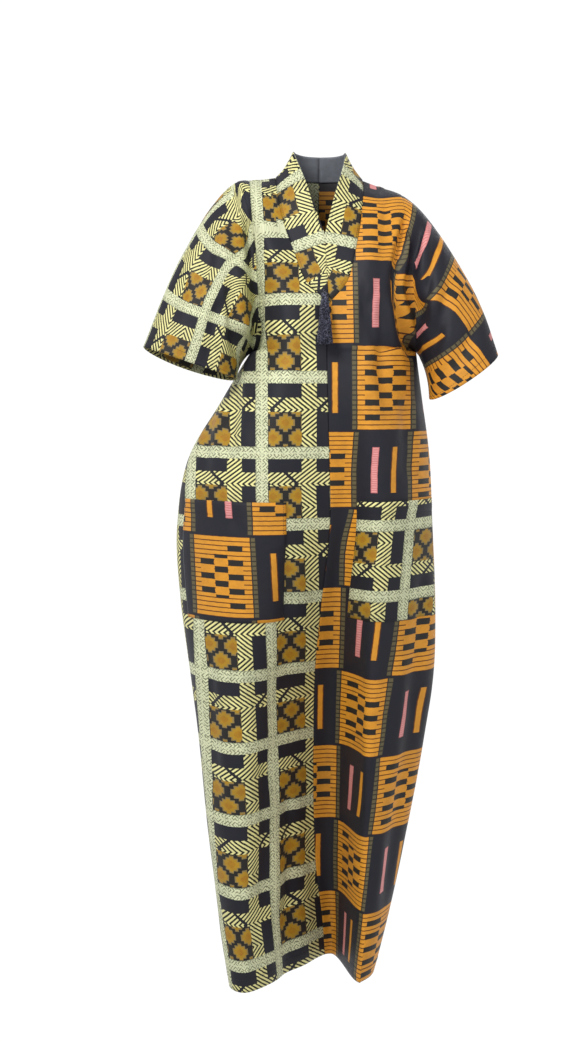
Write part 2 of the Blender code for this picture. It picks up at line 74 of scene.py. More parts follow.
BACK_ROWS = (
    (-318, -75, 100, 0, 104, 86, 100),
    (-405, -98, 110, 0, 110, 100, 108),
    (-498, -122, 122, -2, 114, 108, 118),
    (-632, -135, 138, -5, 120, 112, 132),
    (-778, -132, 146, -8, 126, 110, 138),
    (-908, -125, 150, -9, 132, 106, 144),
    (-1046, -116, 154, -8, 138, 99, 150),
    (-1180, -108, 158, -6, 144, 92, 156),
    (-1312, -100, 162, -3, 152, 85, 162),
    (-1403, -95, 165, 0, 160, 80, 166),
    (-1485, -90, 168, 4, 168, 72, 170),
)
CHEST_COLUMNS = ("z", "x", "y")
CHEST = {
    ("right", "front"): ((-2, -117, 14), (-20, -116, -20), (-60, -109, -54), (-110, -98, -84),
                         (-170, -84, -108), (-240, -68, -124), (-318, -64, -132)),
    ("left", "front"): ((-16, 114, 14), (-36, 113, -20), (-72, 108, -54), (-118, 99, -84),
                        (-176, 91, -107), (-240, 86, -122), (-318, 87, -131)),
    ("right", "back"): ((-2, -117, 14), (-12, -112, 42), (-45, -100, 70), (-100, -88, 88),
                        (-190, -80, 97), (-318, -75, 100)),
    ("left", "back"): ((-16, 114, 14), (-26, 110, 42), (-56, 100, 70), (-108, 92, 88),
                       (-194, 88, 97), (-318, 86, 100)),
}
NECK_SEAM = {
    ("right", "front"): ((-82, 12, 1), (-78, -30, -35), (-66, -66, -90), (-48, -90, -140),
                         (-28, -107, -192), (14, -118, -234)),
    ("left", "front"): ((80, 12, -4), (78, -30, -38), (71, -66, -92), (61, -92, -143),
                        (47, -108, -194), (14, -118, -234)),
    ("right", "back"): ((-82, 12, 1), (-72, 42, 3), (-44, 67, 2), (0, 77, 0)),
    ("left", "back"): ((80, 12, -4), (71, 42, -1), (44, 67, 0), (0, 77, 0)),
}
COLLAR_EDGE = {
    "right": ((7, -86, -110), (-14, -64, -48), (-30, -42, -2), (-41, -22, 26), (-49, 5, 48),
              (-44, 32, 48), (-26, 53, 46), (0, 60, 45)),
    "left": ((7, -86, -110), (24, -63, -42), (37, -40, 2), (44, -20, 28), (47, 5, 46),
             (43, 32, 46), (26, 53, 45), (0, 60, 45)),
}
COLLAR_NECK_SHARE = 0.62
RING_COLUMNS = ("over_x", "over_y", "over_z", "under_x", "under_y", "under_z",
                "front", "back", "lean", "drop_front", "drop_back")
SLEEVE_RINGS = {
    "right": ((-152, 15, -5, -127, 12, UNDERARM_Z, 66, 84, 22, 0, 0),
              (-200, 14, -52, -137, 5, -327, 86, 74, 4, 0, 0),
              (-252, 4, -139, -145, -10, -339, 82, 64, 0, 0, 4),
              (-289, -12, -222, -150, -25, -352, 68, 56, 0, 0, 10),
              (-322, -34, -309, -152, -40, -366, 54, 54, 0, 0, 15)),
    "left": ((148, 15, -29, 178, 12, UNDERARM_Z, 70, 84, -2, 0, 0),
             (194, 15, -67, 187, 5, -334, 86, 74, 0, 0, 0),
             (262, 4, -170, 194, -8, -356, 80, 64, 0, 4, 0),
             (297, -14, -242, 198, -22, -380, 66, 54, 0, 8, 0),
             (324, -36, -322, 199, -36, -403, 54, 50, 0, 12, 0)),
}
POCKET_EDGES = {"right": (0.23, 0.86), "left": (0.17, 0.92)}
FOLD_COLUMNS = ("piece", "across", "width", "top", "bottom", "depth")
FOLD_ROWS = (
    ("back_right", 0.42, 0.10, -380, HEM_Z, 16),
    ("back_right", 0.80, 0.08, -640, HEM_Z, 12),
    ("back_left", 0.36, 0.10, -430, HEM_Z, 16),
    ("back_left", 0.74, 0.09, -600, HEM_Z, 13),
    ("front_left", 0.40, 0.07, -170, -470, 7),
    ("front_left", 0.62, 0.07, -200, -430, -5),
    ("front_right", 0.30, 0.08, -860, -1380, 5),
    ("front_left", 0.80, 0.08, -900, -1380, 8),
)
FOLD_FADE = 90

# How finely the shells are divided: columns and rows are counted before, on and after a pocket.
UPPER_STEPS = 4
COLUMN_COUNTS = (17, 40, 11)
ROW_COUNTS = (46, 36, 116)
SLEEVE_COUNT = 54
COLLAR_ACROSS = 14
RING_POINTS_PER_SPAN = 24
ROW_POINTS_PER_SPAN = 16
CREASE_POINTS_PER_SPAN = 8
WELD_DISTANCE = 0.05
# A column of points lies this share in from each seam, and the cloth dips by the groove at it.
SEAM_SHARE = 0.006
SEAM_GROOVE = 0.9
# The share of the rows along the neck that is spaced evenly; the rest closes up at the front.
NECK_EVEN_SHARE = 0.6

# Thicknesses of the cloth that shows
CLOTH = 0.9 * MM
COLLAR_CLOTH = 2.2 * MM
POCKET_CLOTH = 0.9 * MM

# Shallow creases, up to the depth of a deep one, are pressed in this much harder. A crease
# fades in and out over this share of its length, and doesn't fade where it runs off the hem.
CREASE_STRENGTH = 1.35
DEEP_CREASE = 9
CREASE_FADE = 0.22
# Creases pressed into the fronts, seen from the front: points (x, z) along each one, its half
# width, how deep it is (negative stands proud), and the share of its depth that rises beside it.
CREASE_COLUMNS = ("path", "width", "depth", "bank")
CREASES = (
    # armpit of the right sleeve: the valley, the tongue of cloth that hangs beside it
    (((-135, -50), (-128, -117), (-118, -189), (-114, -261), (-118, -322)), 9, 13, 0.35),
    (((-150, -150), (-147, -225), (-143, -300)), 13, -8, 0.0),
    (((-165, -190), (-161, -270), (-149, -335)), 7, 9, 0.3),
    (((-196, -84), (-206, -160), (-236, -230)), 15, 5, 0.5),
    (((-240, -170), (-262, -240), (-286, -300)), 13, 3, 0.5),
    (((-178, -215), (-196, -290), (-205, -350)), 12, 4, 0.4),
    # armpit of the left sleeve, and the folds that run to it from the shoulder
    (((161, -54), (138, -150), (132, -198), (142, -258), (155, -300), (174, -344)), 8, 10, 0.6),
    (((186, -78), (168, -150), (160, -205), (172, -262)), 9, 6, 0.5),
    (((214, -112), (196, -180), (184, -236), (186, -290)), 10, 5, 0.5),
    (((240, -178), (222, -232), (206, -300), (198, -350)), 12, 4, 0.5),
    (((288, -250), (262, -310), (232, -366)), 12, 3, 0.5),
    (((120, -40), (116, -110), (112, -170)), 12, 3, 0.4),
    # bust and waist
    (((74, -190), (77, -260), (73, -350)), 9, 3, 0.5),
    (((104, -215), (108, -300), (104, -380)), 10, 3, 0.5),
    (((-30, -250), (-26, -330), (-30, -400)), 12, 2, 0.5),
    (((-150, -350), (-158, -430), (-176, -520)), 13, 4, 0.5),
    (((-196, -400), (-206, -480), (-214, -560)), 11, 3, 0.5),
    (((150, -380), (156, -470), (152, -560)), 12, 3, 0.5),
    # skirt
    (((-60, -640), (-62, -800), (-58, -960)), 16, 4, 0.4),
    (((-205, -830), (-198, -980), (-190, -1160)), 13, 3, 0.5),
    (((-100, -1000), (-98, -1180), (-104, -1380)), 15, 4, 0.5),
    (((-60, -1100), (-56, -1260), (-58, -1484)), 13, 5, 0.5),
    (((70, -860), (66, -1000), (62, -1200)), 12, 4, 0.5),
    (((128, -820), (122, -960), (112, -1120)), 14, 3, 0.5),
    (((96, -1150), (88, -1300), (80, -1484)), 12, 3, 0.5),
    (((186, -700), (182, -850), (166, -1000)), 12, 3, 0.5),
    # short ones across the pockets
    (((-104, -672), (-80, -675), (-60, -670)), 3, 1.2, 0.6),
    (((-106, -748), (-82, -744), (-58, -748)), 3, 1.2, 0.6),
    (((-150, -590), (-154, -640)), 8, 1.5, 0.5),
    (((120, -700), (150, -704), (176, -700)), 3, 1.0, 0.6),
)
BACK_CREASES = (
    (((-140, -40), (-128, -130), (-120, -220), (-124, -310)), 11, 9, 0.4),
    (((-186, -100), (-176, -190), (-164, -280)), 12, 5, 0.5),
    (((-240, -190), (-214, -270), (-186, -340)), 12, 4, 0.5),
    (((160, -60), (150, -150), (146, -230), (166, -320)), 11, 9, 0.4),
    (((206, -120), (192, -200), (184, -300)), 12, 5, 0.5),
    (((262, -220), (236, -300), (208, -370)), 12, 4, 0.5),
    (((-40, -180), (-36, -300), (-44, -460)), 12, 3, 0.5),
    (((44, -200), (40, -330), (50, -480)), 12, 3, 0.5),
    (((-176, -430), (-196, -560), (-204, -700)), 14, 5, 0.5),
    (((150, -440), (166, -560), (170, -720)), 14, 5, 0.5),
    (((-60, -620), (-56, -820), (-60, -1040)), 13, 4, 0.5),
    (((48, -700), (50, -900), (44, -1120)), 13, 4, 0.5),
    (((-130, -900), (-124, -1150), (-116, -1484)), 14, 5, 0.5),
    (((110, -900), (104, -1150), (94, -1484)), 14, 5, 0.5),
    (((-20, -1120), (-14, -1300), (-12, -1484)), 11, 4, 0.5),
)

# Where the prints lie on the cloth. The lattice repeats every cell both ways; the block
# print has a block in every period across, and alternate rows are moved by half a period.
CELL = 134
BLOCK_PERIOD = 222
BLOCK_ROW = 148
# The middle of a pale band, as a share of the lattice's cell.
BAND_MIDDLE = 0.09
# Where a line of the print crosses the front at each height: z, x, and the line's place
# as a share of the repeat.
LATTICE_LINE = tuple((z, x, BAND_MIDDLE) for z, x in (
    (-12, -118), (-106, -112), (-225, -106), (-365, -105), (-573, -105), (-798, -90),
    (-1004, -84), (-1141, -80), (-1247, -82), (-1366, -84), (-1442, -76), (-1484, -71)))
BLOCK_LINE = (
    (-43, 114, 0.0), (-159, 114, 0.0), (-307, 115, 0.0), (-456, 116, 0.0),
    (-531, 163, 0.25), (-598, 163, 0.25), (-805, 139, 0.25), (-912, 127, 0.25),
    (-1055, 109, 0.25), (-1201, 94, 0.25), (-1349, 77, 0.25), (-1470, 66, 0.25),
)
# A second line on each front below the hips, to which the print is pulled.
PULLED_LINE = {
    "right": tuple((z, x, BAND_MIDDLE - 1) for z, x in (
        (-700, -222), (-837, -221), (-945, -216), (-1120, -209), (-1300, -192), (-1484, -164))),
    "left": tuple((z, x, -0.25) for z, x in (
        (-672, 41), (-826, 40), (-980, 38), (-1130, 37), (-1277, 34), (-1430, 37))),
}
# The pull sets in below a height, over a fade, and grows along the row as fast as this power.
PULL_FROM_Z = -590
PULL_FADE = 110
PULL_SWIFTNESS = {"right": 1.0, "left": 1.7}
# Heights of the print's rows down the fronts.
LATTICE_BANDS = (-106, -226, -365, -499, -626, -762, -899, -1030, -1163, -1299, -1436)
BLOCK_SEAMS = (-32, -159, -307, -460, -599, -745, -907, -1055, -1204, -1351, -1495)
# On a sleeve the cloth's grain follows the arm; the seam over the arm slopes down the cloth by
# these degrees, and the print runs along it at this pace.
SLEEVE_SLOPE = {"right": 6, "left": 22}
SLEEVE_PACE = {"right": 0.95, "left": 0.975}
# How far a row's print may stretch or close up on a sleeve before it breaks in the armhole fold,
# and over how many rows to each side that pace is evened.
SLEEVE_STRETCH = 0.15
SLEEVE_EVENING = 5
# Share of a sleeve's length along which its rows drift into line with the body's, how much
# further round the arm a front's print lies, and how closely folds gather it round the arm.
SLEEVE_DRIFT = 0.07
SLEEVE_ROUND = {"right": -63, "left": -5}
SLEEVE_GATHER = {"right": 1.2, "left": 1.0}
# Cloth of the print that the armhole fold hides, by height: z, x of the fold, length hidden.
HIDDEN = {"right": (),
          "left": ((-60, 146, 0), (-150, 132, 22), (-198, 128, 46), (-230, 130, 66), (-258, 134, 92),
                   (-290, 142, 118), (-312, 150, 118), (-330, 156, 0))}
HIDDEN_WIDTH = 9
# Share of the hidden length by which the print beyond the fold also lies lower.
HIDDEN_DROP = 0.5
# On the fronts the print is taken mostly as it faces: at each height these shares of the cloth's
# depth count inside and outside the front's crest, and all of it by the side seam.
FACING_DEPTH = {"right": ((-1150, 0.5, 0.15), (-1250, 0.5, 0.2)),
                "left": ((-1150, 0.45, 0.3), (-1250, 0.7, 0.3))}
FACING_ENDS = 0.85
FACING_CHANGE = 0.1
# Below this height the fronts' rows are level; above it they follow the shoulder.
LEVEL_ROWS_Z = -90
# Collar: the print runs up the band on the right and down it on the left, from one strip.
COLLAR_EDGE_SHARE = 0.82
COLLAR_BAND_AT = 126
COLLAR_WIDTH = 60
COLLAR_EXTENSION = 200
COLLAR_UNEVENNESS = 0.4
# Pockets: the block print turned upside down, and the lattice turned over. The cloth's depth
# counts by this share in the print.
POCKET_DEPTH = 0.3
POCKET_BLOCK_LINE = ((-650, -178, 0.0), (-780, -172, 0.0))
POCKET_BLOCK_PACE = 1.0
POCKET_BLOCK_Z = -720
POCKET_LATTICE_LINE = ((-594, 163, 0.09), (-784, 147, 0.09))
POCKET_LATTICE_PACE = 1.08
POCKET_LATTICE_BAND_Z = -629
POCKET_LATTICE_RISE = 1.053


def smooth_line(points, per_span=12, closed=False):
    """A centripetal Catmull-Rom curve through the points, as closely spaced points."""
    points = np.asarray(points, float)
    if closed:
        padded = np.vstack([points[-1], points, points[0], points[1]])
        spans = len(points)
    else:
        padded = np.vstack([2 * points[0] - points[1], points, 2 * points[-1] - points[-2]])
        spans = len(points) - 1
    line = []
    for i in range(spans):
        a, b, c, d = padded[i:i + 4]
        t0 = 0.0
        t1 = t0 + max(np.linalg.norm(b - a), 1e-9) ** 0.5
        t2 = t1 + max(np.linalg.norm(c - b), 1e-9) ** 0.5
        t3 = t2 + max(np.linalg.norm(d - c), 1e-9) ** 0.5
        t = t1 + (t2 - t1) * np.arange(per_span)[:, None] / per_span
        a1 = (t1 - t) / (t1 - t0) * a + (t - t0) / (t1 - t0) * b
        a2 = (t2 - t) / (t2 - t1) * b + (t - t1) / (t2 - t1) * c
        a3 = (t3 - t) / (t3 - t2) * c + (t - t2) / (t3 - t2) * d
        b1 = (t2 - t) / (t2 - t0) * a1 + (t - t0) / (t2 - t0) * a2
        b2 = (t3 - t) / (t3 - t1) * a2 + (t - t1) / (t3 - t1) * a3
        line.append((t2 - t) / (t2 - t1) * b1 + (t - t1) / (t2 - t1) * b2)
    if not closed:
        line.append(points[-1:])
    return np.vstack(line)


def smooth_step(value):
    """A smooth rise from 0 to 1 as the value goes from 0 to 1."""
    value = np.clip(value, 0, 1)
    return value * value * (3 - 2 * value)


def arc_lengths(line):
    """Distance along a line of points from its first one."""
    return np.concatenate([[0], np.cumsum(np.linalg.norm(np.diff(line, axis=0), axis=1))])


def at_shares(line, shares):
    """Points at the given shares of a line's length."""
    run = arc_lengths(line)
    wanted = np.clip(np.asarray(shares), 0, 1) * run[-1]
    return np.stack([np.interp(wanted, run, line[:, axis]) for axis in range(3)], axis=1)


def down_table(rows, columns, names, z):
    """Values of the named columns at one height, on a smooth curve down the table."""
    wanted = [columns.index(name) for name in ("z",) + tuple(names)]
    table = np.array([[row[n] for n in wanted] for row in rows], float)
    heights = -table[:, 0]
    slopes = np.gradient(table[:, 1:], heights, axis=0)
    depth = min(max(-z, heights[0]), heights[-1])
    i = min(int(np.searchsorted(heights, depth, side="right")) - 1, len(heights) - 2)
    step = heights[i + 1] - heights[i]
    t = (depth - heights[i]) / step
    return ((2 * t**3 - 3 * t**2 + 1) * table[i, 1:] + (t**3 - 2 * t**2 + t) * step * slopes[i]
            + (3 * t**2 - 2 * t**3) * table[i + 1, 1:] + (t**3 - t**2) * step * slopes[i + 1])


def column_shares(side):
    """Shares across a body piece from its centre seam, with close columns beside its seams."""
    start, end = POCKET_EDGES[side]
    before, under, after = COLUMN_COUNTS
    even = np.concatenate([np.linspace(0, start, before + 1)[:-1],
                           np.linspace(start, end, under + 1)[:-1],
                           np.linspace(end, 1, after + 1)])
    return np.sort(np.append(even, [SEAM_SHARE, 1 - SEAM_SHARE]))


def lower_heights():
    """Heights of the rows below the underarm, with rows on the pocket's edges."""
    above = np.linspace(UNDERARM_Z, POCKET_TOP_Z, ROW_COUNTS[0] + 1)
    beside = np.linspace(POCKET_TOP_Z, POCKET_BOTTOM_Z, ROW_COUNTS[1] + 1)
    below = np.linspace(POCKET_BOTTOM_Z, HEM_Z, ROW_COUNTS[2] + 1)
    return np.concatenate([above, beside[1:], below[1:]])


RINGS_BY_HEIGHT = {}


def body_ring(z):
    """The closed section of the body at one height, cut at its four seams."""
    key = round(float(z), 3)
    if key in RINGS_BY_HEIGHT:
        return RINGS_BY_HEIGHT[key]
    f = dict(zip(FRONT_COLUMNS[1:], down_table(FRONT_ROWS, FRONT_COLUMNS, FRONT_COLUMNS[1:], z)))
    b = dict(zip(BACK_COLUMNS[1:], down_table(BACK_ROWS, BACK_COLUMNS, BACK_COLUMNS[1:], z)))
    stations = [(f["seam_x"], f["seam_y"]), (f["valley_x"], f["valley_y"]),
                (f["left_crest_x"], f["left_crest_y"]), (f["left_x"], f["left_y"]),
                (b["left_x"], b["left_y"]), (b["centre_x"], b["centre_y"]),
                (b["right_x"], b["right_y"]), (f["right_x"], f["right_y"]),
                (f["right_crest_x"], f["right_crest_y"])]
    per_span = RING_POINTS_PER_SPAN
    ring = smooth_line([(x, y, z) for x, y in stations], per_span, closed=True)
    ring = np.vstack([ring, ring[:1]])
    left, back, right = 3 * per_span, 5 * per_span, 7 * per_span
    RINGS_BY_HEIGHT[key] = {("left", "front"): ring[:left + 1],
                            ("left", "back"): ring[left:back + 1][::-1],
                            ("right", "back"): ring[back:right + 1],
                            ("right", "front"): ring[right:][::-1]}
    return RINGS_BY_HEIGHT[key]


def sleeve_ring(side, face, ring, angle):
    """A point on one ring of a sleeve: angle 0 is over the arm and pi is under it."""
    r = dict(zip(RING_COLUMNS, SLEEVE_RINGS[side][ring]))
    over = np.array([r["over_x"], r["over_y"], r["over_z"]], float)
    under = np.array([r["under_x"], r["under_y"], r["under_z"]], float)
    share = (1 - math.cos(angle)) / 2
    inwards = 1 if side == "right" else -1
    if face == "front":
        push = np.array([inwards * r["lean"], -r["front"], -r["drop_front"]], float)
    else:
        push = np.array([0, r["back"], -r["drop_back"]], float)
    return over * (1 - share) + under * share + math.sin(angle) * push


def edge_points(side, face, rows):
    """Where each upper row starts: along the neck seam, then down the centre seam."""
    neck_rows = NECK_ROWS[face]
    along = rows[rows <= neck_rows] / neck_rows
    if face == "front":
        closing = 1 - np.cos(along * math.pi / 2)
        along = NECK_EVEN_SHARE * along + (1 - NECK_EVEN_SHARE) * closing
    neck = at_shares(smooth_line(NECK_SEAM[side, face]), along)
    bottom = body_ring(UNDERARM_Z)[side, face][0]
    bend = (neck[-1] + bottom) / 2 + np.array([-2.5, -2, 0] if face == "front" else [0, 11, 0])
    down = at_shares(smooth_line([neck[-1], bend, bottom]),
                     (rows[rows > neck_rows] - neck_rows) / (UPPER_ROWS - neck_rows))
    return np.vstack([neck, down])


def piece_grids(side, face):
    """One piece of the cut: its body rows from shoulder to hem, and its half sleeve."""
    shares = column_shares(side)
    sleeve_shares = np.linspace(0, 1, SLEEVE_COUNT + 1)
    rows = np.linspace(0, UPPER_ROWS, UPPER_ROWS * UPPER_STEPS + 1)
    edges = edge_points(side, face, rows)
    per_span = ROW_POINTS_PER_SPAN
    body, sleeve = [], []
    for j, start in zip(rows, edges):
        rings = [sleeve_ring(side, face, k, math.pi * j / UPPER_ROWS)
                 for k in range(len(SLEEVE_RINGS[side]))]
        middle_z = (start[2] + rings[0][2]) / 2
        chest = down_table(CHEST[side, face], CHEST_COLUMNS, ("x", "y"), middle_z)
        if j == UPPER_ROWS:
            body.append(at_shares(body_ring(UNDERARM_Z)[side, face], shares))
            sleeve.append(at_shares(smooth_line(rings, per_span), sleeve_shares))
        else:
            line = smooth_line([start, (chest[0], chest[1], middle_z)] + rings, per_span)
            body.append(at_shares(line[:2 * per_span + 1], shares))
            sleeve.append(at_shares(line[2 * per_span:], sleeve_shares))
    for z in lower_heights()[1:]:
        body.append(at_shares(body_ring(z)[side, face], shares))
    return np.array(body), np.array(sleeve)


def print_rows(side, heights):
    """Length down the cloth's print at each height of a front, in millimetres."""
    if side == "right":
        known = [(z, (n + BAND_MIDDLE) * CELL) for n, z in enumerate(LATTICE_BANDS)]
    else:
        known = [(z, n * BLOCK_ROW) for n, z in enumerate(BLOCK_SEAMS)]
    depths = [-z for z, _ in known]
    lengths = [length for _, length in known]
    depths.append(2 * depths[-1] - depths[-2])
    lengths.append(2 * lengths[-1] - lengths[-2])
    return np.interp(-np.asarray(heights), depths, lengths)


def at_height(table, z):
    """The values that a table gives at one height, its rows led by their heights."""
    depths = [-row[0] for row in table]
    return [np.interp(-z, depths, values) for values in list(zip(*table))[1:]]


def line_crossing(row, run, line):
    """Length along a row at which the print's line crosses it, and the line's share."""
    x, share = at_height(line, row[len(row) // 2, 2])
    order = np.argsort(row[:, 0])
    return np.interp(x, row[order, 0], run[order]), share


def pull(side, row, across, line, period):
    """How far a front's row of print is drawn along to meet its second line below the hips."""
    z = row[len(row) // 2, 2]
    first_x, _ = at_height(line, z)
    second_x, share = at_height(PULLED_LINE[side], z)
    order = np.argsort(row[:, 0])
    found = np.interp(second_x, row[order, 0], across[order])
    shift = (share * period - found) * smooth_step((PULL_FROM_Z - z) / PULL_FADE)
    reach = np.clip((row[:, 0] - first_x) / (second_x - first_x), 0, 1)
    return shift * reach ** PULL_SWIFTNESS[side]


def hidden_length(side, row):
    """How much of a front's print the armhole fold has swallowed at each point of a row."""
    if not HIDDEN[side]:
        return np.zeros(len(row))
    depths, x, length = np.array(HIDDEN[side], float).T * np.array([[-1], [1], [1]])
    place = np.interp(-row[:, 2], depths, x)
    return np.interp(-row[:, 2], depths, length) * smooth_step((row[:, 0] - place) / HIDDEN_WIDTH)


def facing_run(side, face, row, shares):
    """Length along a level row of a body piece, as the print is spread over it."""
    steps = np.diff(row[:, :2], axis=0)
    if face == "front":
        middle = (shares[1:] + shares[:-1]) / 2
        crest = shares[np.argmin(row[:, 1])]
        inner, outer = at_height(FACING_DEPTH[side], row[len(row) // 2, 2])
        depth = inner + (outer - inner) * smooth_step((middle - crest) / FACING_CHANGE + 0.5)
        depth = depth + (1 - depth) * smooth_step((middle - FACING_ENDS) / (1 - FACING_ENDS))
        steps = steps * np.stack([np.ones(len(middle)), depth], 1)
    return np.concatenate([[0], np.cumsum(np.linalg.norm(steps, axis=1))])


def evened(values, reach):
    """Values in a row, each averaged with its neighbours within a reach."""
    steps = np.arange(-3 * reach, 3 * reach + 1)
    weights = np.exp(-(steps / reach) ** 2)
    padded = np.concatenate([np.repeat(values[0], 3 * reach), values, np.repeat(values[-1], 3 * reach)])
    return np.convolve(padded, weights / weights.sum(), mode="valid")


def reading(side, face):
    """1 where the print reads away from the centre seam, and -1 where it reads towards it."""
    return 1 if (side == "left") == (face == "front") else -1


def sleeve_map(side, face, sleeve, across, down):
    """Places on the print of a half sleeve, whose cuff is cut along the grain.

    across and down are the places at the armhole, from the shoulder to the underarm.
    """
    reads = reading(side, face)
    turn = math.radians(SLEEVE_SLOPE[side])
    run = np.stack([arc_lengths(row) for row in sleeve])
    to_cuff = run[:, -1:] - run
    cuff = across[0] + reads * run[0, -1] * SLEEVE_PACE[side] * math.cos(turn)
    pace = reads * (cuff - across) / to_cuff[:, 0] - 1
    pace = evened(1 + SLEEVE_STRETCH * np.tanh(pace / SLEEVE_STRETCH), SLEEVE_EVENING)
    sleeve_across = cuff - reads * pace[:, None] * to_cuff
    tangents = np.gradient(sleeve, axis=1)
    tangents /= np.linalg.norm(tangents, axis=2)[:, :, None]
    steps = np.diff(sleeve, axis=0)
    straight = np.einsum("jkc,jkc->jk", steps, (tangents[1:] + tangents[:-1]) / 2)
    round_arm = np.sqrt(np.maximum(np.sum(steps ** 2, axis=2) - straight ** 2, 0))
    round_arm = np.vstack([np.zeros((1, sleeve.shape[1])), np.cumsum(round_arm, axis=0)])
    if face == "front":
        round_arm = SLEEVE_GATHER[side] * round_arm + SLEEVE_ROUND[side]
    sleeve_down = down[0] + run[:1] * math.sin(turn) + round_arm
    drift = (down - sleeve_down[:, 0])[:, None]
    along = np.linspace(0, 1, sleeve.shape[1])[None, :]
    sleeve_down = sleeve_down + drift * (1 - smooth_step(along / SLEEVE_DRIFT))
    return np.stack([sleeve_across, sleeve_down], 2)


def print_map(side, face, body, sleeve):
    """Places on the flat print, in millimetres, for a piece's body and sleeve grids."""
    line, period = (LATTICE_LINE, CELL) if side == "right" else (BLOCK_LINE, BLOCK_PERIOD)
    reads = reading(side, face)
    under = UPPER_ROWS * UPPER_STEPS
    neck = NECK_ROWS["back"] * UPPER_STEPS
    across = np.zeros(body.shape[:2])
    down = np.zeros(body.shape[:2])
    shares = column_shares(side)
    for j, row in enumerate(body):
        run = facing_run(side, face, row, shares)
        if face == "front":
            crossing, share = line_crossing(row, run, line)
            across[j] = reads * (run - crossing) + share * period
            across[j] += pull(side, row, across[j], line, period) + hidden_length(side, row)
        else:
            start = abs(row[0, 0] - body[neck, 0, 0]) if j < neck else 0.0
            across[j] = reads * (run + start)
    down[under:] = print_rows(side, body[under:, :, 2])
    for j in range(under - 1, -1, -1):
        step = body[j + 1] - body[j]
        down[j] = down[j + 1] - np.hypot(step[:, 1], step[:, 2])
        if face == "front":
            level = body[j, :, 2] < LEVEL_ROWS_Z
            down[j, level] = print_rows(side, body[j, level, 2])
    if face == "front":
        swallowed = np.array([hidden_length(side, row) for row in body])
        down = down - HIDDEN_DROP * swallowed
    over_arm = sleeve_map(side, face, sleeve, across[:under + 1, -1], down[:under + 1, -1])
    return np.stack([across, down], 2), over_arm


def long_folds(piece, body):
    """Depth of the long folds of the solids at each point of a piece's body."""
    side = piece.split("_")[1]
    shares = column_shares(side)[None, :]
    z = body[:, :, 2]
    total = np.zeros(z.shape)
    for row in FOLD_ROWS:
        fold = dict(zip(FOLD_COLUMNS, row))
        if fold["piece"] != piece:
            continue
        swell = smooth_step((fold["top"] - z) / FOLD_FADE)
        if fold["bottom"] != HEM_Z:
            swell = swell * smooth_step((z - fold["bottom"]) / FOLD_FADE)
        total += fold["depth"] * swell * np.exp(-((shares - fold["across"]) / fold["width"]) ** 2)
    return total


def crease_depth(points, creases):
    """Depth of the listed creases at points, seen along Y, in millimetres."""
    total = np.zeros(len(points))
    for number, row in enumerate(creases):
        crease = dict(zip(CREASE_COLUMNS, row))
        path = smooth_line([(x, z, 0) for x, z in crease["path"]], CREASE_POINTS_PER_SPAN)[:, :2]
        run = arc_lengths(path)
        low, high = path.min(axis=0) - 5 * crease["width"], path.max(axis=0) + 5 * crease["width"]
        near = np.where(np.all((points[:, [0, 2]] > low) & (points[:, [0, 2]] < high), axis=1))[0]
        if not len(near):
            continue
        at = points[near][:, [0, 2]]
        best = np.full(len(near), 1e9)
        offset = np.zeros(len(near))
        along = np.zeros(len(near))
        for i in range(len(path) - 1):
            a, d = path[i], path[i + 1] - path[i]
            t = np.clip((at - a) @ d / (d @ d), 0, 1)
            gap = at - a - t[:, None] * d
            distance = np.linalg.norm(gap, axis=1)
            closer = distance < best
            best[closer] = distance[closer]
            offset[closer] = (np.sign(d[0] * gap[:, 1] - d[1] * gap[:, 0]) * distance)[closer]
            along[closer] = ((run[i] + t * (run[i + 1] - run[i])) / run[-1])[closer]
        fade = smooth_step(along / CREASE_FADE)
        if path[-1, 1] > HEM_Z + 5:
            fade = fade * smooth_step((1 - along) / CREASE_FADE)
        wander = 1 + 0.22 * np.sin(along * 9 + number) + 0.12 * np.sin(along * 23 + 2 * number)
        width = crease["width"] * (0.75 + 0.5 * along)
        trough = np.exp(-(offset / width) ** 2)
        bank = crease["bank"] * (np.exp(-((offset - 1.9 * width) / (1.1 * width)) ** 2)
                                 + 0.6 * np.exp(-((offset + 2.1 * width) / (1.3 * width)) ** 2))
        depth = crease["depth"]
        if abs(depth) < DEEP_CREASE:
            depth *= CREASE_STRENGTH
        total[near] += depth * fade * wander * (trough - bank)
    return total


def unevenness(points):
    """The slight unevenness of hanging cloth: long low swells and small ripples."""
    x, y, z = points.T
    swell = (np.sin(x / 31 + 1.3 * np.sin(z / 190)) * np.sin(z / 143 + 0.4)
             + 0.6 * np.sin(x / 17 + z / 260 + 2.1 + y / 50))
    ripple = np.sin(x / 7.3 + 1.9 * np.sin(z / 61)) * np.sin(z / 23 + x / 40)
    return 0.75 * swell + 0.14 * ripple


def grid_quads(index, turned):
    """Corner rows and columns of a grid's quads, wound to face outwards."""
    rows, columns = index.shape
    j, i = np.meshgrid(np.arange(rows - 1), np.arange(columns - 1), indexing="ij")
    j, i = j.ravel(), i.ravel()
    corners = [(j, i), (j + 1, i), (j + 1, i + 1), (j, i + 1)]
    if turned:
        corners = corners[::-1]
    return np.stack([c[0] for c in corners], 1), np.stack([c[1] for c in corners], 1)


def vertex_normals(points, quads):
    """Area-weighted normals of the welded cloth."""
    a, b, c, d = (points[quads[:, n]] for n in range(4))
    face = np.cross(c - a, d - b)
    normals = np.zeros(points.shape)
    for n in range(4):
        np.add.at(normals, quads[:, n], face)
    return normals / np.maximum(np.linalg.norm(normals, axis=1), 1e-12)[:, None]


def placed(name, data):
    """A new object in the scene."""
    obj = bpy.data.objects.new(name, data)
    bpy.context.scene.collection.objects.link(obj)
    return obj


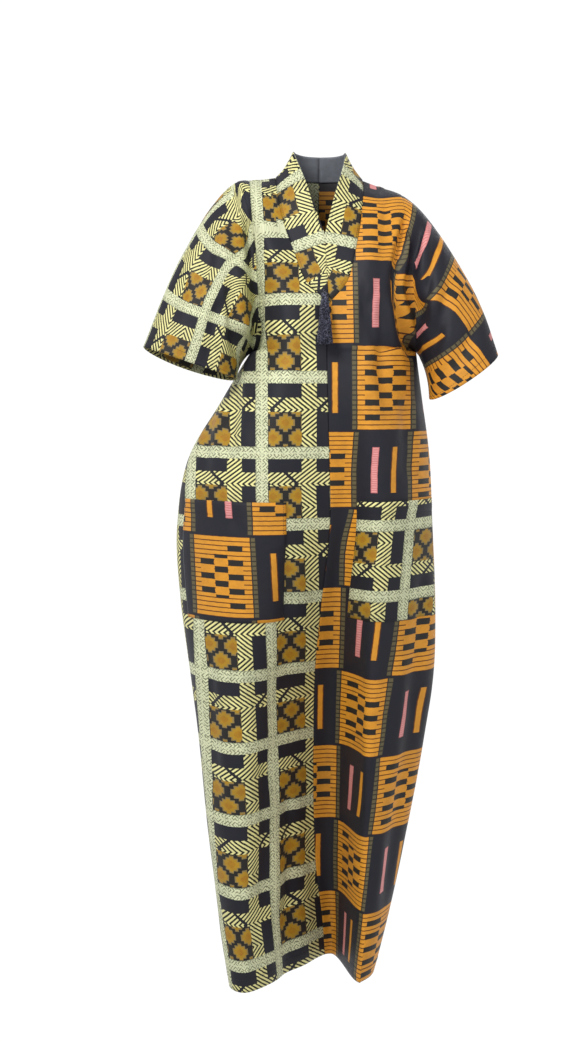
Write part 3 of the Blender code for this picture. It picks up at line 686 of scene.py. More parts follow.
def make_mesh(name, points, quads, flat):
    """A mesh from welded quads, with the place of each corner on the flat cloth as its UV map."""
    used, local = np.unique(quads, return_inverse=True)
    local = local.reshape(quads.shape)
    faces, corners = [], []
    for quad, places in zip(local.tolist(), flat.tolist()):
        keep = [n for n in range(4) if quad[n] != quad[n - 1]]
        if len(keep) > 2:
            faces.append([quad[n] for n in keep])
            corners.extend(places[n] for n in keep)
    mesh = bpy.data.meshes.new(name)
    mesh.from_pydata(points[used].tolist(), [], faces)
    layer = mesh.uv_layers.new(name="Cloth")
    layer.data.foreach_set("uv", np.array(corners, float).ravel())
    mesh.shade_smooth()
    return placed(name, mesh)


class Cloth:
    """All the garment's grids, welded into one sheet of points."""

    def __init__(self):
        self.grids = []

    def add(self, piece, points, flat, turned, moves):
        self.grids.append({"piece": piece, "points": points, "flat": flat, "turned": turned,
                           "moves": moves})

    def weld(self):
        """Share the points that grids have in common, and press the folds and creases in."""
        stacked = np.vstack([g["points"].reshape(-1, 3) for g in self.grids])
        keys = np.round(stacked / WELD_DISTANCE).astype(np.int64)
        _, first, index = np.unique(keys, axis=0, return_index=True, return_inverse=True)
        index = index.ravel()
        points = stacked[first]
        start = 0
        quads = []
        for g in self.grids:
            shape = g["points"].shape[:2]
            count = shape[0] * shape[1]
            g["index"] = index[start:start + count].reshape(shape)
            rows, columns = grid_quads(g["index"], g["turned"])
            g["quads"] = g["index"][rows, columns]
            g["corners"] = g["flat"][rows, columns]
            quads.append(g["quads"])
            start += count
        quads = np.vstack(quads)
        for name in ("folds", "creases"):
            normals = vertex_normals(points, quads)
            total = np.zeros(len(points))
            shared = np.zeros(len(points))
            for g in self.grids:
                index = g["index"]
                moves = g["moves"][name](points[index].reshape(-1, 3), normals[index].reshape(-1, 3))
                np.add.at(total, index.ravel(), moves)
                np.add.at(shared, index.ravel(), 1)
            points = points - normals * (total / np.maximum(shared, 1))[:, None]
        self.points = points
        self.normals = vertex_normals(points, quads)

    def piece(self, name):
        """The points, quads and flat places of one piece."""
        own = [g for g in self.grids if g["piece"] == name]
        return np.vstack([g["quads"] for g in own]), np.vstack([g["corners"] for g in own])


def pressed(piece, folds, groove):
    """What presses a grid in: its long folds, then its creases and the grooves of its seams."""
    creases = CREASES if piece.startswith("front") else BACK_CREASES

    def press(points, normals):
        facing = smooth_step((np.abs(normals[:, 1]) - 0.05) / 0.35)
        return crease_depth(points, creases) * facing + unevenness(points) + groove.ravel()

    return {"folds": lambda points, normals: folds.ravel(), "creases": press}


def body_moves(piece, body):
    shares = column_shares(piece.split("_")[1])
    at_seam = (shares < 1e-6) | (shares > 1 - 1e-6)
    groove = np.tile(np.where(at_seam, SEAM_GROOVE, 0.0), (len(body), 1))
    return pressed(piece, long_folds(piece, body), groove)


def sleeve_moves(piece, sleeve):
    groove = np.zeros(sleeve.shape[:2])
    groove[[0, -1], 1:] = SEAM_GROOVE
    return pressed(piece, np.zeros(sleeve.shape[:2]), groove)


def collar_moves():
    return {"folds": lambda points, normals: np.zeros(len(points)),
            "creases": lambda points, normals: COLLAR_UNEVENNESS * unevenness(points)}


def beside_line(line, grid):
    """How far along a line each point of a grid lies, and how far from it.

    The line goes straight on below its first point.
    """
    start = line[0] - COLLAR_EXTENSION * (line[2] - line[0]) / np.linalg.norm(line[2] - line[0])
    line = np.vstack([start, line])
    run = arc_lengths(line) - COLLAR_EXTENSION
    best = np.full(grid.shape[:2], 1e9)
    along = np.zeros(grid.shape[:2])
    for n in range(len(line) - 1):
        d = line[n + 1] - line[n]
        t = np.clip((grid - line[n]) @ d / (d @ d), 0, 1)
        distance = np.linalg.norm(grid - line[n] - t[:, :, None] * d, axis=2)
        closer = distance < best
        best[closer] = distance[closer]
        along[closer] = (run[n] + t * (run[n + 1] - run[n]))[closer]
    return along, best


def collar_grid(side, fronts, backs):
    """The collar half between the neck seam and its free edge, and its print."""
    neck_front = NECK_ROWS["front"] * UPPER_STEPS
    neck_back = NECK_ROWS["back"] * UPPER_STEPS
    outer = np.vstack([fronts[neck_front::-1, 0], backs[1:neck_back + 1, 0]])
    run = arc_lengths(outer)
    turn = run[neck_front] / run[-1]
    shares = np.interp(run / run[-1], [0, turn, 1], [0, COLLAR_NECK_SHARE, 1])
    inner = at_shares(smooth_line(COLLAR_EDGE[side]), shares)
    steps = np.linspace(0, 1, COLLAR_ACROSS + 1)[None, :, None]
    grid = outer[:, None] + (inner - outer)[:, None] * steps
    up, away = beside_line(outer, grid)
    rises = 1 if side == "right" else -1
    flat = np.stack([COLLAR_EDGE_SHARE * CELL - COLLAR_WIDTH + away,
                     rises * (up - COLLAR_BAND_AT) + BAND_MIDDLE * CELL], 2)
    return grid, flat


# The garment: every grid of the cut, welded into one sheet and creased
cloth = Cloth()
body_grids = {}
for side in ("right", "left"):
    for face in ("front", "back"):
        piece = f"{face}_{side}"
        body, sleeve = piece_grids(side, face)
        body_grids[side, face] = body
        body_flat, sleeve_flat = print_map(side, face, body, sleeve)
        turned = (side == "left") != (face == "front")
        cloth.add(piece, body, body_flat, turned, body_moves(piece, body))
        cloth.add(piece, sleeve, sleeve_flat, turned, sleeve_moves(piece, sleeve))
for side in ("right", "left"):
    grid, flat = collar_grid(side, body_grids[side, "front"], body_grids[side, "back"])
    cloth.add(f"collar_{side}", grid, flat, side == "right", collar_moves())
cloth.weld()


class Term:
    """A value in a shader node tree; arithmetic on it adds Math nodes to the tree."""

    def __init__(self, tree, socket):
        self.tree = tree
        self.socket = socket

    def math(self, operation, *others):
        node = self.tree.nodes.new("ShaderNodeMath")
        node.operation = operation
        for slot, value in zip(node.inputs, (self,) + others):
            if isinstance(value, Term):
                self.tree.links.new(value.socket, slot)
            else:
                slot.default_value = value
        return Term(self.tree, node.outputs[0])

    def __add__(self, other):
        return self.math("ADD", other)

    def __sub__(self, other):
        return self.math("SUBTRACT", other)

    def __mul__(self, other):
        return self.math("MULTIPLY", other)

    def __truediv__(self, other):
        return self.math("DIVIDE", other)

    def abs(self):
        return self.math("ABSOLUTE")

    def fract(self):
        return self.math("FRACT")

    def floor(self):
        return self.math("FLOOR")

    def sine(self):
        return self.math("SINE")

    def pingpong(self, length):
        return self.math("PINGPONG", length)

    def below(self, limit):
        return self.math("LESS_THAN", limit)

    def above(self, limit):
        return self.math("GREATER_THAN", limit)

    def either(self, other):
        return self.math("MAXIMUM", other)

    def inverse(self):
        return (self * -1.0) + 1.0

    def between(self, low, high):
        return self.above(low) * self.below(high)

    def beside(self, place, half_width):
        """One where the fractional part is within half_width of place, round the repeat."""
        return ((self + (0.5 - place)).fract() - 0.5).abs().below(half_width)


def new_group(name, inputs, outputs):
    """A shader node group; gives its tree and its inputs as terms by name."""
    tree = bpy.data.node_groups.new(name, "ShaderNodeTree")
    for label, kind, value in inputs:
        socket = tree.interface.new_socket(label, in_out="INPUT", socket_type=kind)
        if value is not None:
            socket.default_value = value
    for label, kind in outputs:
        tree.interface.new_socket(label, in_out="OUTPUT", socket_type=kind)
    start = tree.nodes.new("NodeGroupInput")
    return tree, {label: Term(tree, start.outputs[label]) for label, _, _ in inputs}


def close_group(tree, **results):
    end = tree.nodes.new("NodeGroupOutput")
    for label, term in results.items():
        tree.links.new(term.socket, end.inputs[label])


def split(term):
    node = term.tree.nodes.new("ShaderNodeSeparateXYZ")
    term.tree.links.new(term.socket, node.inputs[0])
    return [Term(term.tree, node.outputs[n]) for n in range(3)]


def mix(mask, low, high):
    """The low colour where the mask is 0 and the high one where it is 1."""
    tree = next(value.tree for value in (mask, low, high) if isinstance(value, Term))
    node = tree.nodes.new("ShaderNodeMix")
    node.data_type = "RGBA"
    for number, value in ((0, mask), (6, low), (7, high)):
        if isinstance(value, Term):
            tree.links.new(value.socket, node.inputs[number])
        else:
            node.inputs[number].default_value = value
    return Term(tree, node.outputs[2])


def noise(place, scale, detail=2.0, roughness=0.5):
    node = place.tree.nodes.new("ShaderNodeTexNoise")
    place.tree.links.new(place.socket, node.inputs["Vector"])
    node.inputs["Scale"].default_value = scale
    node.inputs["Detail"].default_value = detail
    node.inputs["Roughness"].default_value = roughness
    return Term(place.tree, node.outputs["Fac"])


def uneven_dye(place, dye, darker):
    """A dye that the cloth has taken unevenly, darker in clouds of fine specks."""
    clouds = noise(place, 30, 4.0)
    return mix(clouds, dye, mix(noise(place, 400), dye, darker))


def ink(red, green, blue):
    """A colour given as it looks on a screen, in 0 to 255, as a linear colour."""
    def linear(value):
        value /= 255
        return value / 12.92 if value <= 0.04045 else ((value + 0.055) / 1.055) ** 2.4
    return (linear(red), linear(green), linear(blue), 1.0)


COLOUR = "NodeSocketColor"
NUMBER = "NodeSocketFloat"
VECTOR = "NodeSocketVector"


def lattice_print():
    """Pale etched bands in a square lattice, over striped chevrons and stepped diamonds.

    p and q are the places across and down one cell, as shares of it.
    """
    tree, given = new_group("Lattice print", (
        ("Place", VECTOR, None), ("Cell", NUMBER, CELL * MM), ("Ground", COLOUR, ink(27, 29, 42)),
        ("Pale", COLOUR, ink(246, 240, 166)), ("Gap", COLOUR, ink(22, 22, 22)),
        ("Band", COLOUR, ink(230, 233, 192)), ("Etching", COLOUR, ink(98, 104, 70)),
        ("Ochre", COLOUR, ink(184, 142, 36)), ("Tan", COLOUR, ink(150, 128, 76)),
        ("Rust", COLOUR, ink(168, 104, 18)), ("Brown", COLOUR, ink(38, 36, 34))),
        (("Color", COLOUR),))
    band_edges = (0.008, 0.172)
    band_core = (0.08, 0.10)
    stripe_pitch = 0.077
    cut_half_width = 0.028
    core_size, tip_size, eye_size = 0.79, 0.95, 0.4
    etchings = 21.0
    place = given["Place"]
    x, y, _ = split(place)
    waver = (noise(place, 140) - 0.5) * 0.012
    u = x / given["Cell"] + waver
    v = y / given["Cell"] - waver
    p, q = u.fract(), v.fract()
    band = p.between(*band_edges).either(q.between(*band_edges))
    row, column = q.between(0.36, 0.55), p.between(0.62, 0.82)
    turning = (v - 0.187).pingpong(1 / 3)
    stripe = ((u - turning * 1.25) / stripe_pitch).fract()
    cut = u + turning * 1.05
    cuts = cut.beside(0.565, cut_half_width).either(cut.beside(0.185, cut_half_width))
    cuts = cuts * q.between(0.30, 0.76)
    striped = row.either(column) * cuts.inverse()
    a, b = ((u - 0.403) * 6.0).pingpong(1.0), ((v - 0.689) * 5.0).pingpong(1.0)

    def stepped(across, down, size):
        return ((across.below(0.79 * size) * down.below(0.23 * size))
                .either(across.below(0.54 * size) * down.below(0.46 * size))
                .either(across.below(0.20 * size) * down.below(0.64 * size)))

    def diamonds(size):
        return stepped(a, b, size).either(stepped(a.inverse(), b.inverse(), size))

    block = p.between(0.18, 0.62) * q.above(0.55)
    rust = diamonds(eye_size) * 0.45 + (noise(place, 160, 2.0) - 0.5) * 0.8
    filling = mix(rust, given["Ochre"], given["Rust"])
    rim = mix(diamonds(tip_size), given["Brown"], given["Tan"])
    figure = mix(diamonds(core_size), rim, filling)
    colour = uneven_dye(place, given["Ground"], given["Brown"])
    colour = mix(block, colour, figure)
    colour = mix(striped, colour, mix(stripe.between(0.12, 0.66), given["Gap"], given["Pale"]))
    etched_u, etched_v = u * etchings, v * etchings
    peaks = (etched_u + etched_v.pingpong(1.0)).fract().below(0.33)
    ledges = (etched_v + etched_u.pingpong(1.0)).fract().below(0.33)
    chosen = noise(place, 110, 0.0).above(0.5)
    marks = (peaks * chosen).either(ledges * chosen.inverse()) * noise(place, 300, 1.0).above(0.36)
    rungs = (u * 6.0).beside(0.09, 0.025).either((v * 6.0).beside(0.09, 0.025))
    core = p.between(*band_core).either(q.between(*band_core))
    marks = marks.either(rungs * 0.6) * (core * 0.8).inverse()
    colour = mix(band, colour, mix(marks * 0.9, given["Band"], given["Etching"]))
    close_group(tree, Color=colour)
    return tree


def block_print():
    """Striped orange blocks with dark oblongs and combs beside them, and bars between.

    s and b are the places across and down one block, s from its middle, as shares of the repeat.
    """
    tree, given = new_group("Block print", (
        ("Place", VECTOR, None), ("Period", NUMBER, BLOCK_PERIOD * MM), ("Row", NUMBER, BLOCK_ROW * MM),
        ("Ground", COLOUR, ink(29, 31, 45)), ("Orange", COLOUR, ink(236, 162, 50)),
        ("Gold", COLOUR, ink(220, 145, 30)), ("Line", COLOUR, ink(104, 56, 18)),
        ("Dark", COLOUR, ink(40, 37, 33)), ("Comb", COLOUR, ink(112, 102, 72)),
        ("Pink", COLOUR, ink(236, 160, 158)), ("Rung", COLOUR, ink(204, 108, 108))),
        (("Color", COLOUR),))
    half = 0.2355
    lines = 17.0
    plain_edge = 0.006
    bar_edge = 0.008
    place = given["Place"]
    x, y, _ = split(place)
    waver = (noise(place, 120) - 0.5) * 0.007
    v = y / given["Row"] + waver
    along = x / given["Period"] + waver + (v.floor() * 0.5).fract()
    beyond = along.fract()
    s = (along + 0.5).fract() - 0.5
    b = (v.fract() - 0.012) / 0.976
    within = b.between(0.0, 1.0)
    block = s.abs().below(half) * within
    t = (s / half + 1.0) * 0.5
    left, middle, right = t.between(0.126, 0.385), t.between(0.392, 0.628), t.between(0.64, 0.89)
    beat = (b - 0.5) / 0.177
    tall, short = beat.beside(0.0, 0.21), beat.beside(0.5, 0.21)
    oblongs = ((left * tall * b.between(0.10, 0.89)).either(right * tall * b.between(0.27, 0.73))
               .either(middle * short * b.between(0.235, 0.775)))
    plain = (left.either(right) * b.between(0.278, 0.722)).either(middle * b.between(0.27, 0.735))
    line = (b * lines).beside(0.0, 0.11) * plain.inverse()
    mottle = noise(place, 260, 3.0, 0.7)
    orange = mix((mottle - 0.35) * 1.6 * (plain * 0.6 + 0.4), given["Orange"], given["Gold"])
    colour = uneven_dye(place, given["Ground"], given["Dark"])
    colour = mix(block, colour, mix(oblongs, mix(line, orange, given["Line"]), given["Dark"]))
    comb = s.abs().between(half + 0.004, half + 0.045) * within
    teeth = (b * lines + 0.5).beside(0.0, 0.36) * s.abs().between(half + 0.010, half + 0.041)
    colour = mix(comb, colour, mix(teeth * 0.75 + 0.15, given["Dark"], given["Comb"]))
    high = b.between(0.20, 0.80)
    start, end = half + 0.1625, half + 0.2175
    pink = beyond.between(start, end) * high
    edge = beyond.between(start + plain_edge, end - plain_edge).inverse()
    rung = (b * (2 * lines)).beside(0.0, 0.17).either(edge)
    colour = mix(pink, colour, mix(rung * 0.8, given["Pink"], given["Rung"]))
    start, end = half + 0.322, half + 0.379
    bar = beyond.between(start, end) * high
    edge = beyond.between(start + bar_edge, end - bar_edge).inverse()
    colour = mix(bar, colour, mix(edge, orange, given["Line"]))
    close_group(tree, Color=colour)
    return tree


def cloth_surface():
    """Plain weave, slubs and fine rumples of cotton: a height in metres, and light wear.

    Place lies on the flat cloth and Object in space.
    """
    tree, given = new_group("Cotton surface", (
        ("Place", VECTOR, None), ("Object", VECTOR, None), ("Pitch", NUMBER, 0.0009),
        ("Weave", NUMBER, 0.00004), ("Rumple", NUMBER, 0.0011), ("Slub", NUMBER, 0.00005)),
        (("Height", NUMBER), ("Wear", NUMBER)))
    x, y, _ = split(given["Place"])
    turns = 2 * math.pi
    weave = (x / given["Pitch"] * turns).sine() * (y / given["Pitch"] * turns).sine()
    rumple = noise(given["Object"], 42, 3.0, 0.6)
    slub = noise(given["Place"], 900, 1.0)
    height = weave * given["Weave"] + rumple * given["Rumple"] + slub * given["Slub"]
    wear = noise(given["Object"], 11, 3.0) * 0.5 + noise(given["Place"], 75, 2.0) * 0.5
    close_group(tree, Height=height, Wear=wear)
    return tree


LATTICE = lattice_print()
BLOCKS = block_print()
COTTON = cloth_surface()


class Finish:
    """A material with one Principled shader, whose inputs are set by name."""

    def __init__(self, name):
        self.material = bpy.data.materials.new(name)
        self.material.use_nodes = True
        self.tree = self.material.node_tree
        self.shader = self.tree.nodes["Principled BSDF"]

    def give(self, **values):
        """Set inputs, an underscore standing for a space, to a plain value or a term."""
        for label, value in values.items():
            slot = self.shader.inputs[label.replace("_", " ")]
            if isinstance(value, Term):
                self.tree.links.new(value.socket, slot)
            else:
                slot.default_value = value

    def place_on_object(self):
        return Term(self.tree, self.tree.nodes.new("ShaderNodeTexCoord").outputs["Object"])

    def place_on_cloth(self):
        node = self.tree.nodes.new("ShaderNodeUVMap")
        node.uv_map = "Cloth"
        return Term(self.tree, node.outputs[0])

    def group(self, node_group, **places):
        """Put a node group in the material; gives its outputs as terms by name."""
        node = self.tree.nodes.new("ShaderNodeGroup")
        node.node_tree = node_group
        for label, place in places.items():
            self.tree.links.new(place.socket, node.inputs[label])
        return {output.name: Term(self.tree, output) for output in node.outputs}

    def bump(self, height, distance, strength):
        """Raise the surface by a height that is given in shares of the distance."""
        node = self.tree.nodes.new("ShaderNodeBump")
        node.inputs["Distance"].default_value = distance
        node.inputs["Strength"].default_value = strength
        self.tree.links.new(height.socket, node.inputs["Height"])
        self.tree.links.new(node.outputs[0], self.shader.inputs["Normal"])


def printed_cloth(name, print_tree, roughness, fade=0.0):
    """Waxed cotton with a print; fade mixes in the duller wrong side."""
    finish = Finish(name)
    flat = finish.place_on_cloth()
    surface = finish.group(COTTON, Place=flat, Object=finish.place_on_object())
    wear = surface["Wear"]
    colour = finish.group(print_tree, Place=flat)["Color"]
    colour = mix((wear - 0.38) * 0.8, colour, ink(48, 47, 48))
    if fade:
        colour = mix(fade, colour, ink(74, 70, 66))
    finish.give(Base_Color=colour, Roughness=wear * 0.16 + (roughness - 0.08), Sheen_Weight=0.03,
                Sheen_Roughness=0.4, Sheen_Tint=ink(190, 200, 235), Specular_IOR_Level=0.30)
    finish.bump(surface["Height"], 1.0, 0.8)
    return finish.material


def plain_cloth(name, colour, roughness):
    """Plain woven facing or thread, with a little variation."""
    finish = Finish(name)
    place = finish.place_on_object()
    darker = tuple(channel * 0.62 for channel in colour[:3]) + (1.0,)
    finish.give(Base_Color=mix(noise(place, 120, 3.0), colour, darker), Roughness=roughness)
    finish.bump(noise(place, 900, 2.0), 0.0006, 0.5)
    return finish.material


def glitter_thread():
    """Charcoal tassel thread twisted with silver and violet glints."""
    finish = Finish("glitter_thread")
    place = finish.place_on_object()
    glint = noise(place, 620, 1.0).above(0.57)
    violet = mix(noise(place, 400, 1.0), ink(176, 180, 200), ink(96, 92, 128))
    base = mix(noise(place, 260, 2.0), ink(20, 21, 28), ink(42, 43, 54))
    finish.give(Base_Color=mix(glint, base, violet), Metallic=glint * 0.55,
                Roughness=glint * -0.25 + 0.6, Specular_IOR_Level=0.2)
    return finish.material


def thickened(obj, finishes, wall, rim=0):
    """Give a shell its thickness inwards, with its own finish on the wrong side."""
    for finish in finishes:
        obj.data.materials.append(finish)
    solidify = obj.modifiers.new("Cloth thickness", "SOLIDIFY")
    solidify.thickness = wall
    solidify.offset = -1
    solidify.material_offset = 1
    solidify.material_offset_rim = rim


def cut_size(grid, sleeve=None):
    """Width and length of a piece's cut laid flat, from its grids in millimetres."""
    widths = np.array([arc_lengths(row)[-1] for row in grid])
    if sleeve is not None:
        widths[:len(sleeve)] += [arc_lengths(row)[-1] for row in sleeve]
    lengths = [arc_lengths(column)[-1] for column in np.swapaxes(grid, 0, 1)]
    return float(widths.max()) * MM, float(max(lengths)) * MM


def declare(obj, node, size):
    """Attach a cloth piece to its body and hide its node's solid; its cut size is grown to cover its
    area but then not used.
    """
    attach(obj, "root")
    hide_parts(node)
    width, length = size
    area = sum(face.area for face in obj.data.polygons)
    if area > width * length:
        grow = math.sqrt(area / (width * length)) * 1.001
        width, length = width * grow, length * grow


lattice_cloth = printed_cloth("lattice_cloth", LATTICE, 0.58)
lattice_inside = printed_cloth("lattice_inside", LATTICE, 0.75, fade=0.35)
block_cloth = printed_cloth("block_cloth", BLOCKS, 0.56)
block_inside = printed_cloth("block_inside", BLOCKS, 0.75, fade=0.35)
facing = plain_cloth("grey_facing", ink(128, 132, 140), 0.8)
# The right and the wrong side of the cloth that each half of the garment is cut from.
BOTH_SIDES = {"right": (lattice_cloth, lattice_inside), "left": (block_cloth, block_inside)}
OTHER = {"right": "left", "left": "right"}
dark_thread = plain_cloth("dark_thread", ink(44, 44, 52), 0.6)
tassel_thread = glitter_thread()

SLOTS = {"front_right": "lattice_print", "back_right": "lattice_print",
         "front_left": "block_print", "back_left": "block_print",
         "collar_right": "collar_print", "collar_left": "collar_print"}
# How far the neck's edge starts from the centre front, which the cut reaches lower down.
NECK_SET_OUT = {"front_right": 96, "front_left": 66}
for piece, finish in SLOTS.items():
    quads, corners = cloth.piece(piece)
    obj = make_mesh(f"{piece}_cloth", cloth.points * MM, quads, corners * MM)
    grids = [cloth.points[g["index"]] for g in cloth.grids if g["piece"] == piece]
    width, length = cut_size(*grids)
    if piece.startswith("collar"):
        thickened(obj, (lattice_cloth, facing), COLLAR_CLOTH, rim=1)
        width = COLLAR_WIDTH * MM
    else:
        thickened(obj, BOTH_SIDES[piece.split("_")[1]], CLOTH)
    width += NECK_SET_OUT.get(piece, 0) * MM
    declare(obj, piece, (width, length))

# How far the stitched edge of a pocket stands off its front, how much more its middle does,
# how far its mouth gapes, how thick its hem is, and how steeply its sides and foot rise.
POCKET_RISE = 1.1
POCKET_LOFT = 0.9
POCKET_GAPE = 3.0
POCKET_HEM = 0.6
POCKET_SIDE_SLOPE = 20
POCKET_FOOT_SLOPE = 16


def pocket(side):
    """A patch cut over part of a front, lifted off it, pressed down where it is stitched."""
    front = next(g for g in cloth.grids if g["piece"] == f"front_{side}")
    shares = column_shares(side)
    start, end = POCKET_EDGES[side]
    heights = lower_heights()
    top = UPPER_ROWS * UPPER_STEPS + int(np.argmin(np.abs(heights - POCKET_TOP_Z)))
    bottom = UPPER_ROWS * UPPER_STEPS + int(np.argmin(np.abs(heights - POCKET_BOTTOM_Z)))
    first = int(np.argmin(np.abs(shares - start)))
    last = int(np.argmin(np.abs(shares - end)))
    index = front["index"][top:bottom + 1, first:last + 1]
    points, normals = cloth.points[index], cloth.normals[index]
    low = np.linspace(0, 1, index.shape[0])[:, None]
    out = np.linspace(0, 1, index.shape[1])[None, :]
    rim = np.minimum(np.minimum(out, 1 - out) * POCKET_SIDE_SLOPE, (1 - low) * POCKET_FOOT_SLOPE)
    gape = POCKET_GAPE * np.exp(-(low / 0.12) ** 2) * np.sin(out * math.pi) ** 0.7
    hem = POCKET_HEM * (low < 0.1)
    lift = POCKET_RISE + POCKET_LOFT * smooth_step(rim) + gape + hem
    grid = points + normals * lift[:, :, None]
    level = points * np.array([1, POCKET_DEPTH, 0])
    run = np.stack([arc_lengths(row) for row in level])
    z = points[:, :, 2]
    if side == "right":
        line, period, pace = POCKET_BLOCK_LINE, BLOCK_PERIOD, POCKET_BLOCK_PACE
        down = 0.5 * BLOCK_ROW + (z - POCKET_BLOCK_Z)
    else:
        line, period, pace = POCKET_LATTICE_LINE, CELL, POCKET_LATTICE_PACE
        down = (2 + BAND_MIDDLE) * CELL + (z - POCKET_LATTICE_BAND_Z) * POCKET_LATTICE_RISE
    across = np.zeros(z.shape)
    for n, row in enumerate(points):
        crossing, share = line_crossing(row, run[n], line)
        across[n] = (run[n] - crossing) * pace + share * period
    flat = np.stack([across, down], 2)
    rows, columns = grid_quads(index, side == "right")
    order = np.arange(index.size).reshape(index.shape)
    obj = make_mesh(f"pocket_{side}_cloth", grid.reshape(-1, 3) * MM, order[rows, columns],
                    flat[rows, columns] * MM)
    thickened(obj, BOTH_SIDES[OTHER[side]], POCKET_CLOTH)
    declare(obj, f"pocket_{side}", cut_size(grid))
    return grid


pocket_grids = [pocket(side) for side in ("right", "left")]


def finished_mesh(obj):
    """The object's modifiers made into plain mesh, and then removed."""
    graph = bpy.context.evaluated_depsgraph_get()
    mesh = bpy.data.meshes.new_from_object(obj.evaluated_get(graph))
    obj.modifiers.clear()
    old = obj.data
    obj.data = mesh
    bpy.data.meshes.remove(old)
    return obj


def new_geometry_tree(name, inputs):
    tree = bpy.data.node_groups.new(name, "GeometryNodeTree")
    tree.interface.new_socket("Geometry", in_out="INPUT", socket_type="NodeSocketGeometry")
    for label, kind, value in inputs:
        socket = tree.interface.new_socket(label, in_out="INPUT", socket_type=kind)
        if value is not None:
            socket.default_value = value
    tree.interface.new_socket("Geometry", in_out="OUTPUT", socket_type="NodeSocketGeometry")
    return tree, tree.nodes.new("NodeGroupInput"), tree.nodes.new("NodeGroupOutput")


def stitching_tree():
    """A row of short rounded stitches along each line of edges."""
    tree, start, end = new_geometry_tree("Stitching", (
        ("Pitch", NUMBER, 0.0042), ("Length", NUMBER, 0.0013), ("Thickness", NUMBER, 0.0004),
        ("Thread", "NodeSocketMaterial", None)))
    add, link = tree.nodes.new, tree.links.new
    curve = add("GeometryNodeMeshToCurve")
    even = add("GeometryNodeResampleCurve")
    even.mode = "LENGTH"
    stitch = add("GeometryNodeMeshUVSphere")
    stitch.inputs["Segments"].default_value = 6
    stitch.inputs["Rings"].default_value = 4
    stitch.inputs["Radius"].default_value = 1.0
    tangent = add("GeometryNodeInputTangent")
    align = add("FunctionNodeAlignRotationToVector")
    align.axis = "Z"
    size = add("ShaderNodeCombineXYZ")
    place = add("GeometryNodeInstanceOnPoints")
    real = add("GeometryNodeRealizeInstances")
    finish = add("GeometryNodeSetMaterial")
    link(start.outputs["Geometry"], curve.inputs["Mesh"])
    link(curve.outputs["Curve"], even.inputs["Curve"])
    link(start.outputs["Pitch"], even.inputs["Length"])
    link(tangent.outputs[0], align.inputs["Vector"])
    link(start.outputs["Thickness"], size.inputs["X"])
    link(start.outputs["Thickness"], size.inputs["Y"])
    link(start.outputs["Length"], size.inputs["Z"])
    link(even.outputs["Curve"], place.inputs["Points"])
    link(stitch.outputs["Mesh"], place.inputs["Instance"])
    link(align.outputs[0], place.inputs["Rotation"])
    link(size.outputs[0], place.inputs["Scale"])
    link(place.outputs[0], real.inputs[0])
    link(real.outputs[0], finish.inputs["Geometry"])
    link(start.outputs["Thread"], finish.inputs["Material"])
    link(finish.outputs[0], end.inputs[0])
    return tree


def strand_tree():
    """Thin round strands along each line of edges."""
    tree, start, end = new_geometry_tree("Strands", (
        ("Radius", NUMBER, 0.0004), ("Sides", "NodeSocketInt", 3),
        ("Thread", "NodeSocketMaterial", None)))
    add, link = tree.nodes.new, tree.links.new
    curve = add("GeometryNodeMeshToCurve")
    ring = add("GeometryNodeCurvePrimitiveCircle")
    tube = add("GeometryNodeCurveToMesh")
    tube.inputs["Fill Caps"].default_value = True
    finish = add("GeometryNodeSetMaterial")
    link(start.outputs["Geometry"], curve.inputs["Mesh"])
    link(start.outputs["Sides"], ring.inputs["Resolution"])
    link(start.outputs["Radius"], ring.inputs["Radius"])
    link(curve.outputs["Curve"], tube.inputs["Curve"])
    link(ring.outputs["Curve"], tube.inputs["Profile Curve"])
    link(tube.outputs[0], finish.inputs["Geometry"])
    link(start.outputs["Thread"], finish.inputs["Material"])
    link(finish.outputs[0], end.inputs[0])
    return tree


def from_lines(name, lines, tree, **values):
    """Build what a Geometry Nodes tree makes along lines of points given in millimetres."""
    points, edges = [], []
    for line in lines:
        first = len(points)
        points.extend((np.asarray(line) * MM).tolist())
        edges.extend((first + n, first + n + 1) for n in range(len(line) - 1))
    mesh = bpy.data.meshes.new(name)
    mesh.from_pydata(points, edges, [])
    obj = placed(name, mesh)
    modifier = obj.modifiers.new("Make", "NODES")
    modifier.node_group = tree
    for item in tree.interface.items_tree:
        if item.in_out == "INPUT" and item.name in values:
            modifier[item.identifier] = values[item.name]
    return finished_mesh(obj)


STITCHING = stitching_tree()
STRANDS = strand_tree()


def raised(index):
    return cloth.points[index] + cloth.normals[index] * STITCH_RISE


# Which column from the cuff, row from the hem and row below a pocket's mouth is stitched, and
# how far stitches stand off the cloth.
CUFF_STITCH_COLUMN = -4
HEM_STITCH_ROW = -5
MOUTH_STITCH_ROW = 4
STITCH_RISE = 0.25


def seam_lines():
    """Stitch lines: hem, cuffs, both edges of the collar, and round the pockets."""
    lines = []
    for g in cloth.grids:
        index = g["index"]
        if g["piece"].startswith("collar"):
            lines.append(raised(index[1:-1, 1]))
            lines.append(raised(index[1:-1, -2]))
        elif index.shape[1] == SLEEVE_COUNT + 1:
            lines.append(raised(index[:, CUFF_STITCH_COLUMN]))
        else:
            lines.append(raised(index[HEM_STITCH_ROW, :]))
    for grid in pocket_grids:
        for line in (grid[:, 1], grid[:, -2], grid[-2, 1:-1], grid[MOUTH_STITCH_ROW, 1:-1]):
            lines.append(line + [0, -STITCH_RISE, 0])
    return lines


stitches = from_lines("stitches", seam_lines(), STITCHING, Thread=dark_thread)
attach(stitches, "root")

# Tassel: a bound head at the point of the collar over a skirt of glittering strands
TASSEL_TOP = np.array([6, -122, -214])
TASSEL_LEAN = -30
TASSEL_LENGTH = 94
TASSEL_HEAD = 21
STRAND_COUNT = 300
STRAND_STEPS = 8
